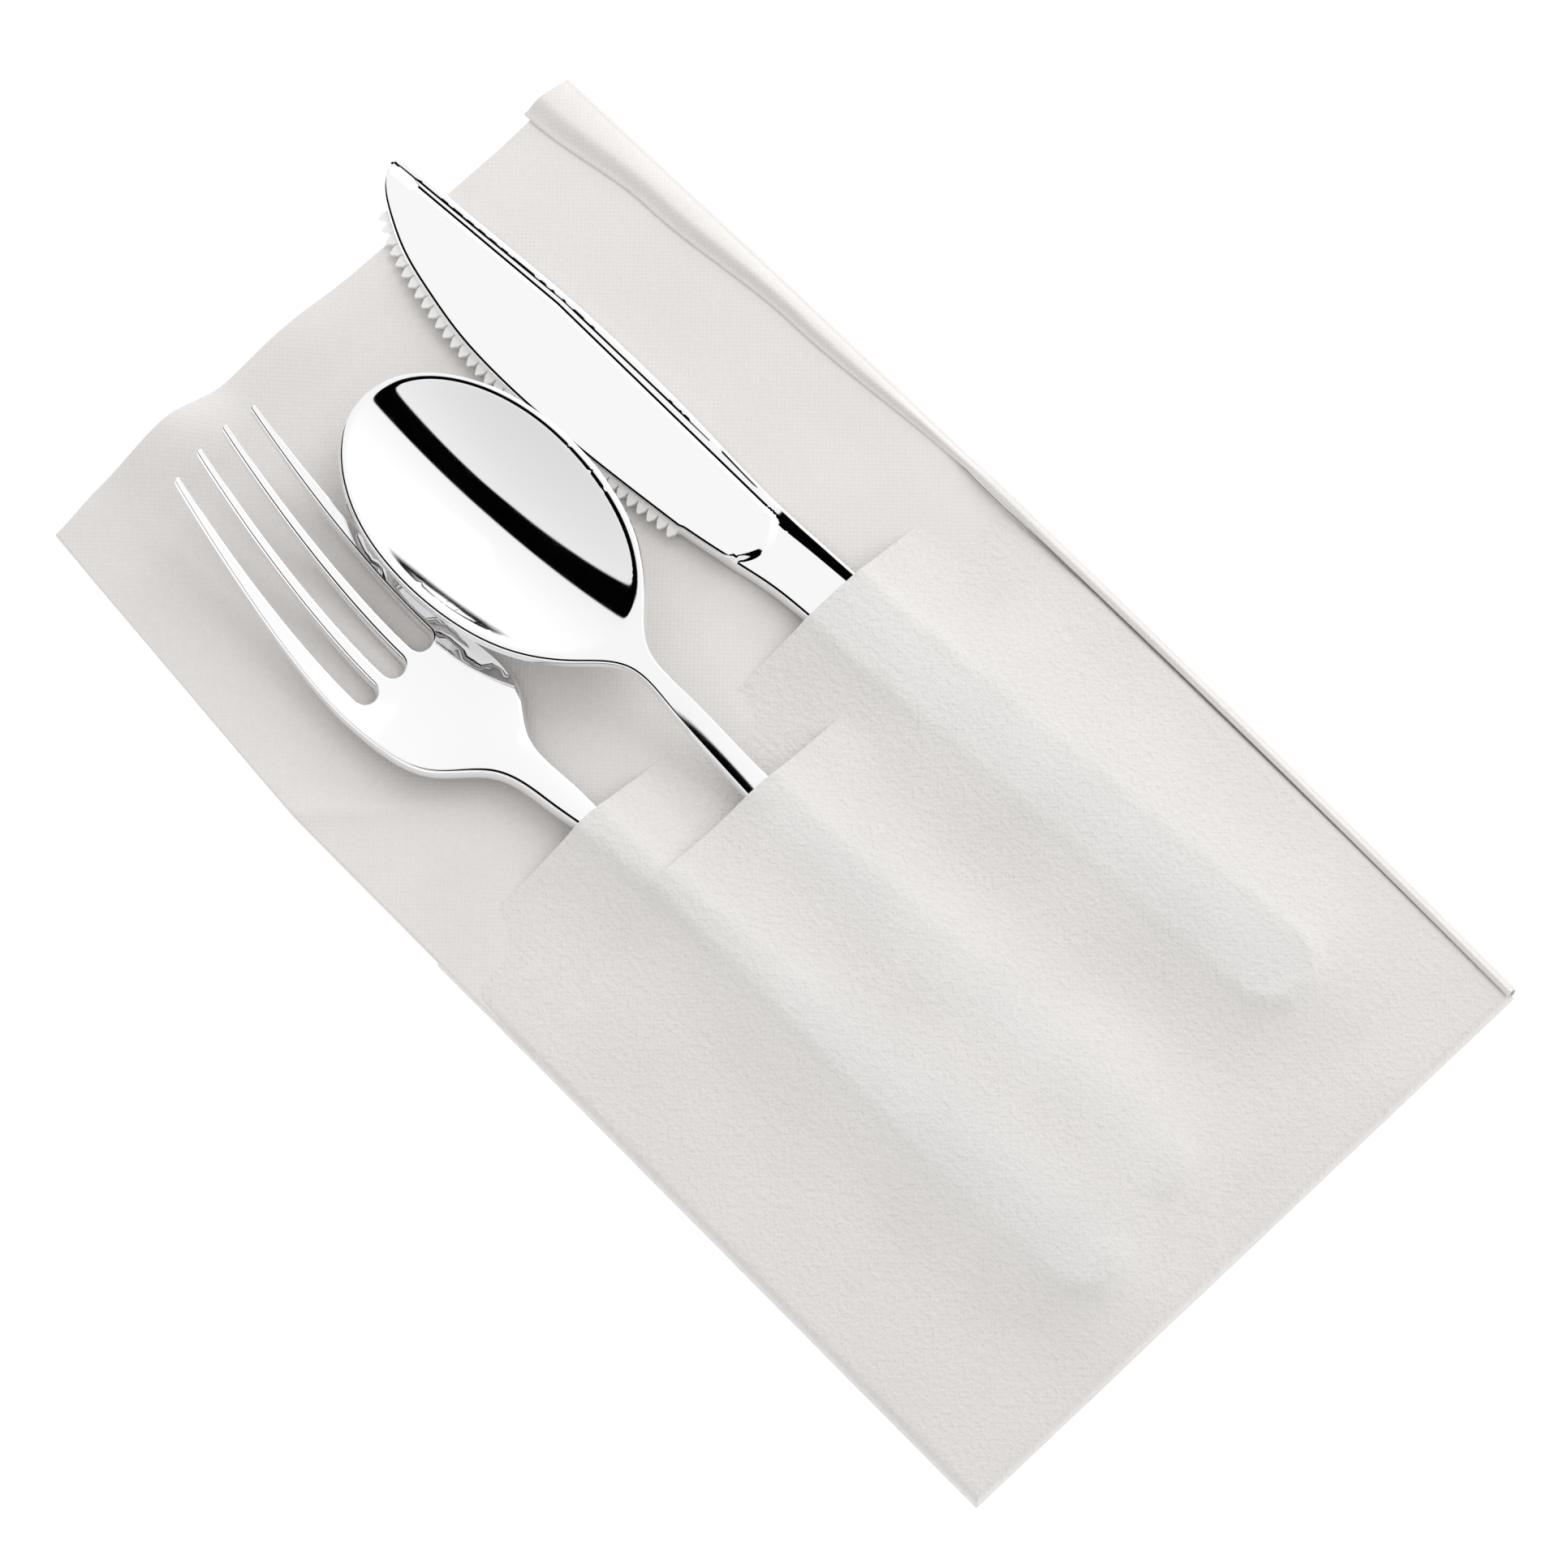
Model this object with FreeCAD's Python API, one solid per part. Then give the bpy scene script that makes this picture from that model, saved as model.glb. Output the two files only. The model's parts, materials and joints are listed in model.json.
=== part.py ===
import FreeCAD, Part

import math
import os

# A pocket-fold napkin holding a fork, a spoon and a knife. Millimetres and degrees.
# Origin: centre of the napkin's underside. +Y: towards the heads of the cutlery. +Z: up.

# ---- the folded sheet ----
NAPKIN_WIDTH = 112.8
NAPKIN_LENGTH = 208.0
PLY = 0.4                 # one ply of the paper
REAR_PLIES = 4            # plies in the rear leaf
FRONT_PLIES = 2           # plies in the front leaf, behind the pocket
LEAF_GAP = 0.2            # air between the two leaves
SPINE_GAP = 0.15          # each leaf stops this far short of the fold line
CORNER_RADIUS = 2.0
SHOULDER_INSET = 4.5      # the leaves' top left corner stands in by this much
SHOULDER_DROP = 60.0      # and the left edge starts to slant this far below the top
INNER_DEPTH = 116.5       # height of the inner ply: its edge is the fork's and the knife's mouth
OUTER_DEPTH = 102.0       # height of the outer ply: its edge is the spoon's mouth
TURNOVER_TOP = 8.5        # width of the turned-over right margin at its top end
TURNOVER_FOOT = 2.5       # and at the pocket
POCKET_TOE = 3.0          # room left beyond each handle's end
ROOF_ARCH = 0.3           # rise of a pocket's roof across its width

# ---- cutlery: common ----
REST_GAP = 0.15           # air between a piece of cutlery and the paper under it
SLIDE_GAP = 0.35          # air between a handle and the pocket's side and roof

# ---- fork ----
FORK_LENGTH = 190.5
FORK_THICKNESS = 2.0
FORK_SIDE = -18.0             # middle of the handle's end, from the napkin's middle
FORK_SETBACK = 9.5            # and from the napkin's bottom edge
FORK_LEAN = 3.8               # leans to the left
FORK_ROLL = 5.0               # lies with its right side low
FORK_HANDLE_HALF = 6.4
FORK_NECK_HALF = 2.45
FORK_HEAD_HALF = 11.9
FORK_TIP_HALF = 8.85
FORK_CROWN = 1.1              # rise of the handle's middle above its edges
FORK_NECK_RISE = 2.2          # neck above the head's root
FORK_TIP_RISE = 3.6           # tips above the head's root
FORK_DISH = 0.004             # hollow of the head across its width, per mm
TINE_LENGTH = 46.0            # from the slots' round ends to the tips
SLOT_PITCH = 6.15
SLOT_HALF = 1.75
SLOT_TIP_PITCH = 5.45
SLOT_TIP_HALF = 2.2
SLOTS = 3

# ---- spoon ----
SPOON_LENGTH = 175.5
SPOON_THICKNESS = 1.5
SPOON_SIDE = -2.3
SPOON_SETBACK = 13.5
SPOON_LEAN = 0.5
SPOON_PULL_LEAN = -3.0        # the spoon is drawn out a little to the right, clear of the tines
SPOON_HANDLE_HALF = 6.5
SPOON_NECK_HALF = 2.1
SPOON_CROWN = 1.0
BOWL_HALF = 17.5
BOWL_TIP_RUN = 26.8           # from the widest place to the tip
BOWL_NECK_RUN = 31.5           # and from the widest place back to the neck
BOWL_RUN_OUT = 26.0            # behind this the bowl runs out smoothly
BOWL_DEPTH = 6.8
BOWL_RIM = 9.35               # rim above the surface that the handle lies on

# ---- knife ----
KNIFE_LENGTH = 195.3
KNIFE_THICKNESS = 2.2
KNIFE_SIDE = 34.0
KNIFE_SETBACK = 22.0
KNIFE_LEAN = 4.2
KNIFE_HANDLE_HALF = 6.1
KNIFE_CROWN = 1.2
BLADE_BACK = 9.9              # spine side of the blade, from the axis
BLADE_EDGE = 8.9              # cutting edge of the blade, from the axis
BLADE_LENGTH = 75.3           # from the last tooth to the tip
BLADE_LIFT = -0.2             # blade's top against the top of the handle's edges
FACE_LEAD = 16.0              # the blade's sunk face starts this far before the last tooth
FACE_DEPTH = 0.5
BLADE_RIB = 2.4               # rib left standing along the back
BLADE_STRAIGHT = 38.0          # straight length of the cutting edge, before it sweeps to the tip
BLADE_TAPER = 0.7              # how much it closes in on the axis towards the handle
BELLY_POWER = 2.35             # higher is a squarer sweep
TIP_INSET = 2.2                # from the back to the blade's tip
TOOTH_PITCH = 2.0
TOOTH_DEPTH = 1.2

# all three
HANDLE_CORNER = 0.73           # a handle's end: this share of its half width
HANDLE_CORNER_AT = 1.6         # is reached here
HANDLE_SHOULDER = 9.0          # and the full width here
SHEET_MARGIN = 4.0             # the bent sheets are longer than the pieces by this, and then cut to outline
SIDE_MARGIN = 2.5              # and wider by this
CUT_REACH = 40.0               # how far up and down the cutting prisms reach

# ---- worked out from the above ----
REAR_TOP = REAR_PLIES * PLY
FRONT_BASE = REAR_TOP + LEAF_GAP
FRONT_TOP = FRONT_BASE + FRONT_PLIES * PLY
INNER_TOP = FRONT_TOP + PLY
OUTER_TOP = INNER_TOP + PLY
RIGHT = NAPKIN_WIDTH / 2
LEFT = -NAPKIN_WIDTH / 2
TOP = NAPKIN_LENGTH / 2
BOTTOM = -NAPKIN_LENGTH / 2
INNER_MOUTH = BOTTOM + INNER_DEPTH
OUTER_MOUTH = BOTTOM + OUTER_DEPTH
FORK_END = (FORK_SIDE, BOTTOM + FORK_SETBACK)
SPOON_END = (SPOON_SIDE, BOTTOM + SPOON_SETBACK)
KNIFE_END = (KNIFE_SIDE, BOTTOM + KNIFE_SETBACK)
SLOT_BOTTOM = FORK_LENGTH - TINE_LENGTH
BOWL_WIDEST = SPOON_LENGTH - BOWL_TIP_RUN
BLADE_START = KNIFE_LENGTH - BLADE_LENGTH
FACE_START = BLADE_START - FACE_LEAD
LEAF_RIGHT = RIGHT - SPINE_GAP
UP = FreeCAD.Vector(0, 0, 1)


def eased(stations, s):
    """Smooth value at s through (place, value) stations, level at each one."""
    if s <= stations[0][0]:
        return stations[0][1]
    for (s0, v0), (s1, v1) in zip(stations, stations[1:]):
        if s <= s1:
            share = (s - s0) / (s1 - s0)
            return v0 + (v1 - v0) * share * share * (3 - 2 * share)
    return stations[-1][1]


def polygon(points, z):
    """Closed wire through points in plan."""
    vectors = [FreeCAD.Vector(x, y, z) for x, y in points]
    return Part.makePolygon(vectors + vectors[:1])


def slab(points, base, top):
    """Flat plate with a straight-sided outline."""
    return Part.Face(polygon(points, base)).extrude(UP * (top - base))


def rounded_upright(shape, corners):
    """The plate with its upright corners at these places rounded."""
    found = [
        e for e in shape.Edges
        if len(e.Vertexes) == 2
        and abs(e.Vertexes[0].X - e.Vertexes[1].X) < 1e-6
        and abs(e.Vertexes[0].Y - e.Vertexes[1].Y) < 1e-6
        and any(math.hypot(e.Vertexes[0].X - x, e.Vertexes[0].Y - y) < 1e-6 for x, y in corners)
    ]
    return shape.makeFillet(CORNER_RADIUS, found)


def curve_through(points, z):
    """Smooth curve through points in plan."""
    curve = Part.BSplineCurve()
    curve.interpolate([FreeCAD.Vector(x, y, z) for x, y in points])
    return curve.toShape()


def placed(shape, end, base, lean, roll=0.0):
    """Turns a piece drawn along +Y from its handle's end into its place, resting at base."""
    shape = shape.copy()
    shape.rotate(FreeCAD.Vector(0, 0, 0), FreeCAD.Vector(0, 1, 0), roll)
    shape.rotate(FreeCAD.Vector(0, 0, 0), UP, lean)
    shape.translate(FreeCAD.Vector(end[0], end[1], 0))
    lift = base - shape.optimalBoundingBox(False).ZMin
    shape.translate(UP * lift)
    return shape


def bent_sheet(stations, crest, curve, half, thickness):
    """Sheet of even thickness: at each station its middle is crest high, and it rises by curve times w squared."""
    wires = []
    for s in stations:
        w = half
        middle = crest(s)
        side = middle + curve(s) * w * w
        control = 2 * middle - side
        upper = Part.BezierCurve()
        upper.setPoles([FreeCAD.Vector(-w, s, side), FreeCAD.Vector(0, s, control), FreeCAD.Vector(w, s, side)])
        lower = Part.BezierCurve()
        lower.setPoles([
            FreeCAD.Vector(w, s, side - thickness),
            FreeCAD.Vector(0, s, control - thickness),
            FreeCAD.Vector(-w, s, side - thickness),
        ])
        right = Part.makeLine(FreeCAD.Vector(w, s, side), FreeCAD.Vector(w, s, side - thickness))
        left = Part.makeLine(FreeCAD.Vector(-w, s, side - thickness), FreeCAD.Vector(-w, s, side))
        wires.append(Part.Wire([upper.toShape(), right, lower.toShape(), left]))
    return Part.makeLoft(wires, True, False)


def cut_to_outline(sheet, edges):
    """Keeps what is inside the closed outline."""
    face = Part.Face(Part.Wire(edges))
    face.translate(UP * -CUT_REACH)
    return sheet.common(face.extrude(UP * CUT_REACH * 2)).Solids[0]


def handle_end(half):
    """Half of the outline of a handle's rounded end."""
    return [(0.0, 0.0), (half * HANDLE_CORNER, HANDLE_CORNER_AT), (half, HANDLE_SHOULDER)]


def even_places(length, count):
    """Evenly spaced stations along a piece, from just before its end to just past its tip."""
    return [-SHEET_MARGIN + (length + 2 * SHEET_MARGIN) * i / count for i in range(count + 1)]


# ---------------------------------------------------------------- fork

def fork_crest(s):
    """Height of the fork's top surface along its middle."""
    flat = FORK_THICKNESS
    root = SLOT_BOTTOM - 2.0
    if s > root:
        return flat + FORK_TIP_RISE * ((s - root) / (FORK_LENGTH - root)) ** 2
    return eased([
        (SLOT_BOTTOM - 44.0, flat + FORK_CROWN),
        (SLOT_BOTTOM - 24.0, flat + FORK_NECK_RISE),
        (root, flat),
    ], s)


def fork_curve(s):
    """How strongly the fork's section is arched (below 0) or dished (above 0)."""
    crown = -FORK_CROWN / FORK_HANDLE_HALF ** 2
    return eased([(SLOT_BOTTOM - 44.0, crown), (SLOT_BOTTOM - 8.0, FORK_DISH)], s)


def fork_side():
    """Half of the fork's outline, from the handle's end to the outer tine's tip."""
    return handle_end(FORK_HANDLE_HALF) + [
        (FORK_HANDLE_HALF * 0.72, 48.0),
        (FORK_NECK_HALF, SLOT_BOTTOM - 38.0),
        (FORK_NECK_HALF + 0.5, SLOT_BOTTOM - 32.0),
        (FORK_NECK_HALF + 1.9, SLOT_BOTTOM - 22.5),
        (FORK_HEAD_HALF * 0.86, SLOT_BOTTOM - 15.0),
        (FORK_HEAD_HALF, SLOT_BOTTOM - 5.0),
        (FORK_TIP_HALF + 1.3, SLOT_BOTTOM + 25.0),
        (FORK_TIP_HALF, FORK_LENGTH - 1.0),
    ]


def slot(index):
    """One gap between tines, as an upright prism open at the tips."""
    step = index - (SLOTS - 1) / 2
    foot = step * SLOT_PITCH
    tip = step * SLOT_TIP_PITCH
    beyond = FORK_LENGTH + 5.0
    bottom = SLOT_BOTTOM + SLOT_HALF
    left = Part.makeLine(FreeCAD.Vector(tip - SLOT_TIP_HALF, beyond, 0), FreeCAD.Vector(foot - SLOT_HALF, bottom, 0))
    round_end = Part.Arc(
        FreeCAD.Vector(foot - SLOT_HALF, bottom, 0),
        FreeCAD.Vector(foot, SLOT_BOTTOM, 0),
        FreeCAD.Vector(foot + SLOT_HALF, bottom, 0),
    ).toShape()
    right = Part.makeLine(FreeCAD.Vector(foot + SLOT_HALF, bottom, 0), FreeCAD.Vector(tip + SLOT_TIP_HALF, beyond, 0))
    across = Part.makeLine(FreeCAD.Vector(tip + SLOT_TIP_HALF, beyond, 0), FreeCAD.Vector(tip - SLOT_TIP_HALF, beyond, 0))
    face = Part.Face(Part.Wire([left, round_end, right, across]))
    face.translate(UP * -CUT_REACH)
    return face.extrude(UP * CUT_REACH * 2)


def fork():
    side = fork_side()
    right = curve_through(side, 0)
    left = curve_through([(-x, y) for x, y in reversed(side)], 0)
    tips = Part.Arc(
        FreeCAD.Vector(side[-1][0], side[-1][1], 0),
        FreeCAD.Vector(0, FORK_LENGTH, 0),
        FreeCAD.Vector(-side[-1][0], side[-1][1], 0),
    ).toShape()
    sheet = bent_sheet(even_places(FORK_LENGTH, 26), fork_crest, fork_curve, FORK_HEAD_HALF + SIDE_MARGIN, FORK_THICKNESS)
    body = cut_to_outline(sheet, [right, tips, left])
    for index in range(SLOTS):
        body = body.cut(slot(index))
    return placed(body.Solids[0], FORK_END, FRONT_TOP + REST_GAP, FORK_LEAN, FORK_ROLL)


# ---------------------------------------------------------------- spoon

def bowl_hollow(s):
    """Depth along the bowl's middle: half an ellipse to the tip, another to the neck, run out smoothly."""
    if s >= BOWL_WIDEST:
        return BOWL_DEPTH * (1 - ((s - BOWL_WIDEST) / BOWL_TIP_RUN) ** 2)
    behind = BOWL_WIDEST - s
    if behind <= BOWL_RUN_OUT:
        return BOWL_DEPTH * (1 - (behind / BOWL_NECK_RUN) ** 2)
    depth = BOWL_DEPTH * (1 - (BOWL_RUN_OUT / BOWL_NECK_RUN) ** 2)
    slope = 2 * BOWL_DEPTH * BOWL_RUN_OUT / BOWL_NECK_RUN ** 2
    share = max(0.0, 1 - (behind - BOWL_RUN_OUT) * slope / (2 * depth))
    return depth * share ** 2


def spoon_crest(s):
    """Height of the spoon's top surface along its middle."""
    rise = [(BOWL_WIDEST - 64.0, SPOON_THICKNESS + SPOON_CROWN), (BOWL_WIDEST - 30.0, BOWL_RIM)]
    return eased(rise, s) - bowl_hollow(s)


def spoon_curve(s):
    """How strongly the spoon's section is arched (below 0) or dished (above 0)."""
    crown = -SPOON_CROWN / SPOON_HANDLE_HALF ** 2
    dish = BOWL_DEPTH / BOWL_HALF ** 2
    return eased([(BOWL_WIDEST - 50.0, crown), (BOWL_WIDEST - 38.0, 0.0), (BOWL_WIDEST - BOWL_RUN_OUT, dish)], s)


def spoon():
    side = handle_end(SPOON_HANDLE_HALF) + [
        (SPOON_HANDLE_HALF * 0.7, 45.0),
        (SPOON_NECK_HALF + 0.4, BOWL_WIDEST - 54.0),
        (SPOON_NECK_HALF, BOWL_WIDEST - 42.0),
        (SPOON_NECK_HALF + 0.35, BOWL_WIDEST - 34.5),
    ]
    for behind in (28.0, 19.0, 9.0, 0.0):
        side.append((BOWL_HALF * math.sqrt(1 - (behind / BOWL_NECK_RUN) ** 2), BOWL_WIDEST - behind))
    for degrees in (20, 40, 60, 76):
        a = math.radians(degrees)
        side.append((BOWL_HALF * math.cos(a), BOWL_WIDEST + BOWL_TIP_RUN * math.sin(a)))
    side.append((0.0, SPOON_LENGTH))
    right = curve_through(side, 0)
    left = curve_through([(-x, y) for x, y in reversed(side)], 0)
    sheet = bent_sheet(even_places(SPOON_LENGTH, 32), spoon_crest, spoon_curve, BOWL_HALF + SIDE_MARGIN, SPOON_THICKNESS)
    body = cut_to_outline(sheet, [right, left])
    return placed(body, SPOON_END, INNER_TOP + REST_GAP, SPOON_LEAN)


# ---------------------------------------------------------------- knife

def knife_crest(s):
    return eased([(FACE_START - 22.0, KNIFE_THICKNESS + KNIFE_CROWN), (BLADE_START, KNIFE_THICKNESS + BLADE_LIFT)], s)


def knife_curve(s):
    crown = -KNIFE_CROWN / KNIFE_HANDLE_HALF ** 2
    return eased([(FACE_START - 22.0, crown), (BLADE_START, 0.0)], s)


def knife_back():
    """Right-hand side of the knife: handle and the blade's back, up to the tip."""
    return handle_end(KNIFE_HANDLE_HALF) + [
        (KNIFE_HANDLE_HALF * 0.87, FACE_START - 10.0),
        (BLADE_BACK * 0.72, BLADE_START + 2.0),
        (BLADE_BACK * 0.95, BLADE_START + 27.0),
        (BLADE_BACK, BLADE_START + 45.0),
        (BLADE_BACK, KNIFE_LENGTH - 3.5),
        (BLADE_BACK - TIP_INSET, KNIFE_LENGTH),
    ]


def knife_edge_half(s):
    """Distance of the cutting edge from the axis."""
    turn = BLADE_START + BLADE_STRAIGHT
    if s <= turn:
        return BLADE_EDGE - BLADE_TAPER * (turn - s) / BLADE_STRAIGHT
    share = (s - turn) / (KNIFE_LENGTH - turn)
    sweep = BLADE_EDGE + BLADE_BACK - TIP_INSET
    return BLADE_EDGE - sweep * (1 - math.sqrt(max(0.0, 1 - share ** BELLY_POWER)))


def toothed_edge():
    """The cutting edge with its teeth, from the tip end back to the first tooth."""
    count = int((KNIFE_LENGTH - 5.0 - BLADE_START) / TOOTH_PITCH)
    points = []
    for i in range(count, 0, -1):
        s = BLADE_START + i * TOOTH_PITCH
        points.append((-knife_edge_half(s), s))
        middle = s - TOOTH_PITCH / 2
        points.append((-knife_edge_half(middle) - TOOTH_DEPTH, middle))
    points.append((-knife_edge_half(BLADE_START), BLADE_START))
    return points


def knife():
    back = knife_back()
    teeth = toothed_edge()
    belly = [
        (BLADE_BACK - TIP_INSET, KNIFE_LENGTH),
        (-knife_edge_half(KNIFE_LENGTH - 1.2), KNIFE_LENGTH - 1.2),
        teeth[0],
    ]
    handle = [
        teeth[-1],
        (-KNIFE_HANDLE_HALF * 1.02, FACE_START + 1.0),
        (-KNIFE_HANDLE_HALF * 0.95, FACE_START - 12.0),
    ]
    handle += [(-x, y) for x, y in reversed(handle_end(KNIFE_HANDLE_HALF))]
    saw = Part.makePolygon([FreeCAD.Vector(x, y, 0) for x, y in teeth])
    edges = [curve_through(back, 0), curve_through(belly, 0)] + saw.Edges + [curve_through(handle, 0)]
    sheet = bent_sheet(even_places(KNIFE_LENGTH, 24), knife_crest, knife_curve, BLADE_BACK + SIDE_MARGIN, KNIFE_THICKNESS)
    body = cut_to_outline(sheet, edges)
    body = body.cut(blade_face())
    return placed(body.Solids[0], KNIFE_END, FRONT_TOP + REST_GAP, KNIFE_LEAN)


def blade_face():
    """The sunk face of the blade: a shallow cut with a round end, clear of the rib along the back."""
    inner = BLADE_BACK * 0.72 - BLADE_RIB
    outer = -BLADE_EDGE + 1.0
    middle = (inner + outer) / 2
    start = FACE_START + 6.0
    floor = KNIFE_THICKNESS + BLADE_LIFT - FACE_DEPTH
    points = [(BLADE_BACK - BLADE_RIB, KNIFE_LENGTH - 8.0), (BLADE_BACK * 0.95 - BLADE_RIB, BLADE_START + 27.0)]
    back = curve_through(points + [(inner, start)], floor)
    round_end = Part.Arc(
        FreeCAD.Vector(inner, start, floor),
        FreeCAD.Vector(middle, FACE_START, floor),
        FreeCAD.Vector(outer, start, floor),
    ).toShape()
    edge = curve_through([
        (outer, start),
        (-BLADE_EDGE + 1.0, BLADE_START + 36.0),
        (-knife_edge_half(KNIFE_LENGTH - 22.0) + 1.2, KNIFE_LENGTH - 22.0),
        (-knife_edge_half(KNIFE_LENGTH - 9.0) + 1.6, KNIFE_LENGTH - 9.0),
    ], floor)
    last = FreeCAD.Vector(-knife_edge_half(KNIFE_LENGTH - 9.0) + 1.6, KNIFE_LENGTH - 9.0, floor)
    nose = Part.makeLine(last, FreeCAD.Vector(BLADE_BACK - BLADE_RIB, KNIFE_LENGTH - 8.0, floor))
    face = Part.Face(Part.Wire([back, round_end, edge, nose]))
    return face.extrude(UP * 10)


# ---------------------------------------------------------------- napkin

def pocket_room(piece, end, lean, mouth, floor, grow):
    """The space that a handle needs to slide out along lean, grown outwards by grow, open past the mouth."""
    size = NAPKIN_LENGTH * 2
    below = Part.makeBox(size, size, size, FreeCAD.Vector(-size / 2, mouth - size, -size / 2))
    handle = piece.common(below)
    handle.translate(FreeCAD.Vector(-end[0], -end[1], 0))
    handle.rotate(FreeCAD.Vector(0, 0, 0), UP, -lean)
    box = handle.optimalBoundingBox(False)
    left = box.XMin - SLIDE_GAP - grow
    right = box.XMax + SLIDE_GAP + grow
    roof = box.ZMax + SLIDE_GAP + grow
    start = box.YMin - POCKET_TOE - grow
    corners = [FreeCAD.Vector(left, start, roof), FreeCAD.Vector(left, start, floor)]
    corners += [FreeCAD.Vector(right, start, floor), FreeCAD.Vector(right, start, roof)]
    arch = Part.Arc(corners[3], FreeCAD.Vector((left + right) / 2, start, roof + ROOF_ARCH), corners[0])
    wire = Part.Wire([arch.toShape()] + Part.makePolygon(corners).Edges)
    room = Part.Face(wire).extrude(FreeCAD.Vector(0, size, 0))
    room.rotate(FreeCAD.Vector(0, 0, 0), UP, lean)
    room.translate(FreeCAD.Vector(end[0], end[1], 0))
    return room


def below_line(shape, mouth):
    """The part of the shape on the pocket's side of the mouth."""
    size = NAPKIN_LENGTH * 2
    return shape.common(Part.makeBox(size, size, size, FreeCAD.Vector(-size / 2, mouth - size, -size / 2)))


def leaf_outline():
    """Both leaves: straight sides, with the top left corner standing in."""
    return [
        (LEFT, BOTTOM),
        (LEAF_RIGHT, BOTTOM),
        (LEAF_RIGHT, TOP),
        (LEFT + SHOULDER_INSET, TOP),
        (LEFT, TOP - SHOULDER_DROP),
    ]


def rear_leaf():
    return rounded_upright(slab(leaf_outline(), 0, REAR_TOP), [(LEFT, BOTTOM), (LEFT + SHOULDER_INSET, TOP)])


def front_leaf():
    return rounded_upright(slab(leaf_outline(), FRONT_BASE, FRONT_TOP), [(LEFT + SHOULDER_INSET, TOP)])


def right_turnover():
    """The margin of the sheet that is turned over on the front leaf, along its right edge."""
    outline = [
        (LEAF_RIGHT - TURNOVER_FOOT, INNER_MOUTH),
        (LEAF_RIGHT, INNER_MOUTH),
        (LEAF_RIGHT, TOP),
        (LEAF_RIGHT - TURNOVER_TOP, TOP),
    ]
    return slab(outline, FRONT_TOP, FRONT_TOP + PLY)


def fold_roll(start, along, radius):
    """Half-round edge of a fold: the outer half of a bar, its flat side on the leaves' edges."""
    bar = Part.makeCylinder(radius, along.Length, start, along)
    outward = along.cross(UP).normalize()
    side = along.Length * 2
    keep = Part.makeBox(side, side, side, FreeCAD.Vector(-side / 2, -side / 2, -side / 2))
    keep.translate(start + outward * (side / 2))
    return bar.common(keep)


def bottom_fold():
    """Fold that joins the pocket's plies to the front leaf along the bottom edge."""
    radius = (OUTER_TOP - FRONT_BASE) / 2
    start = FreeCAD.Vector(LEFT, BOTTOM, FRONT_BASE + radius)
    return fold_roll(start, FreeCAD.Vector(LEAF_RIGHT - LEFT, 0, 0), radius)


def left_fold():
    """Fold that closes the pockets along the left edge, up to the outer ply's mouth."""
    radius = (OUTER_TOP - FRONT_BASE) / 2
    start = FreeCAD.Vector(LEFT, OUTER_MOUTH, FRONT_BASE + radius)
    return fold_roll(start, FreeCAD.Vector(0, BOTTOM - OUTER_MOUTH, 0), radius)


def ply(depth, base, top):
    return slab([(LEFT, BOTTOM), (LEAF_RIGHT, BOTTOM), (LEAF_RIGHT, BOTTOM + depth), (LEFT, BOTTOM + depth)], base, top)


def pocket_inner_ply(fork_piece, knife_piece):
    """Ply over the handles of the fork and the knife."""
    shell = ply(INNER_DEPTH, FRONT_TOP, INNER_TOP)
    for piece, end, lean in ((fork_piece, FORK_END, FORK_LEAN), (knife_piece, KNIFE_END, KNIFE_LEAN)):
        hump = pocket_room(piece, end, lean, INNER_MOUTH, FRONT_TOP, PLY)
        shell = shell.fuse(below_line(hump, INNER_MOUTH))
    for piece, end, lean in ((fork_piece, FORK_END, FORK_LEAN), (knife_piece, KNIFE_END, KNIFE_LEAN)):
        shell = shell.cut(pocket_room(piece, end, lean, INNER_MOUTH, FRONT_TOP, 0))
    return shell.removeSplitter()


def pocket_outer_ply(fork_piece, spoon_piece, knife_piece):
    """Ply over the inner ply and the handle of the spoon."""
    shell = ply(OUTER_DEPTH, INNER_TOP, OUTER_TOP)
    under = []
    for piece, end, lean in ((fork_piece, FORK_END, FORK_LEAN), (knife_piece, KNIFE_END, KNIFE_LEAN)):
        hump = pocket_room(piece, end, lean, INNER_MOUTH, INNER_TOP, 2 * PLY)
        shell = shell.fuse(below_line(hump, OUTER_MOUTH))
        under.append(pocket_room(piece, end, lean, INNER_MOUTH, INNER_TOP - PLY, PLY))
    cover = pocket_room(spoon_piece, SPOON_END, SPOON_PULL_LEAN, OUTER_MOUTH, INNER_TOP, PLY)
    shell = shell.fuse(below_line(cover, OUTER_MOUTH))
    under.append(pocket_room(spoon_piece, SPOON_END, SPOON_PULL_LEAN, OUTER_MOUTH, INNER_TOP - PLY, 0))
    for room in under:
        shell = shell.cut(room)
    shell = shell.cut(ply(INNER_DEPTH, FRONT_TOP, INNER_TOP))
    return shell.removeSplitter()


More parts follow.
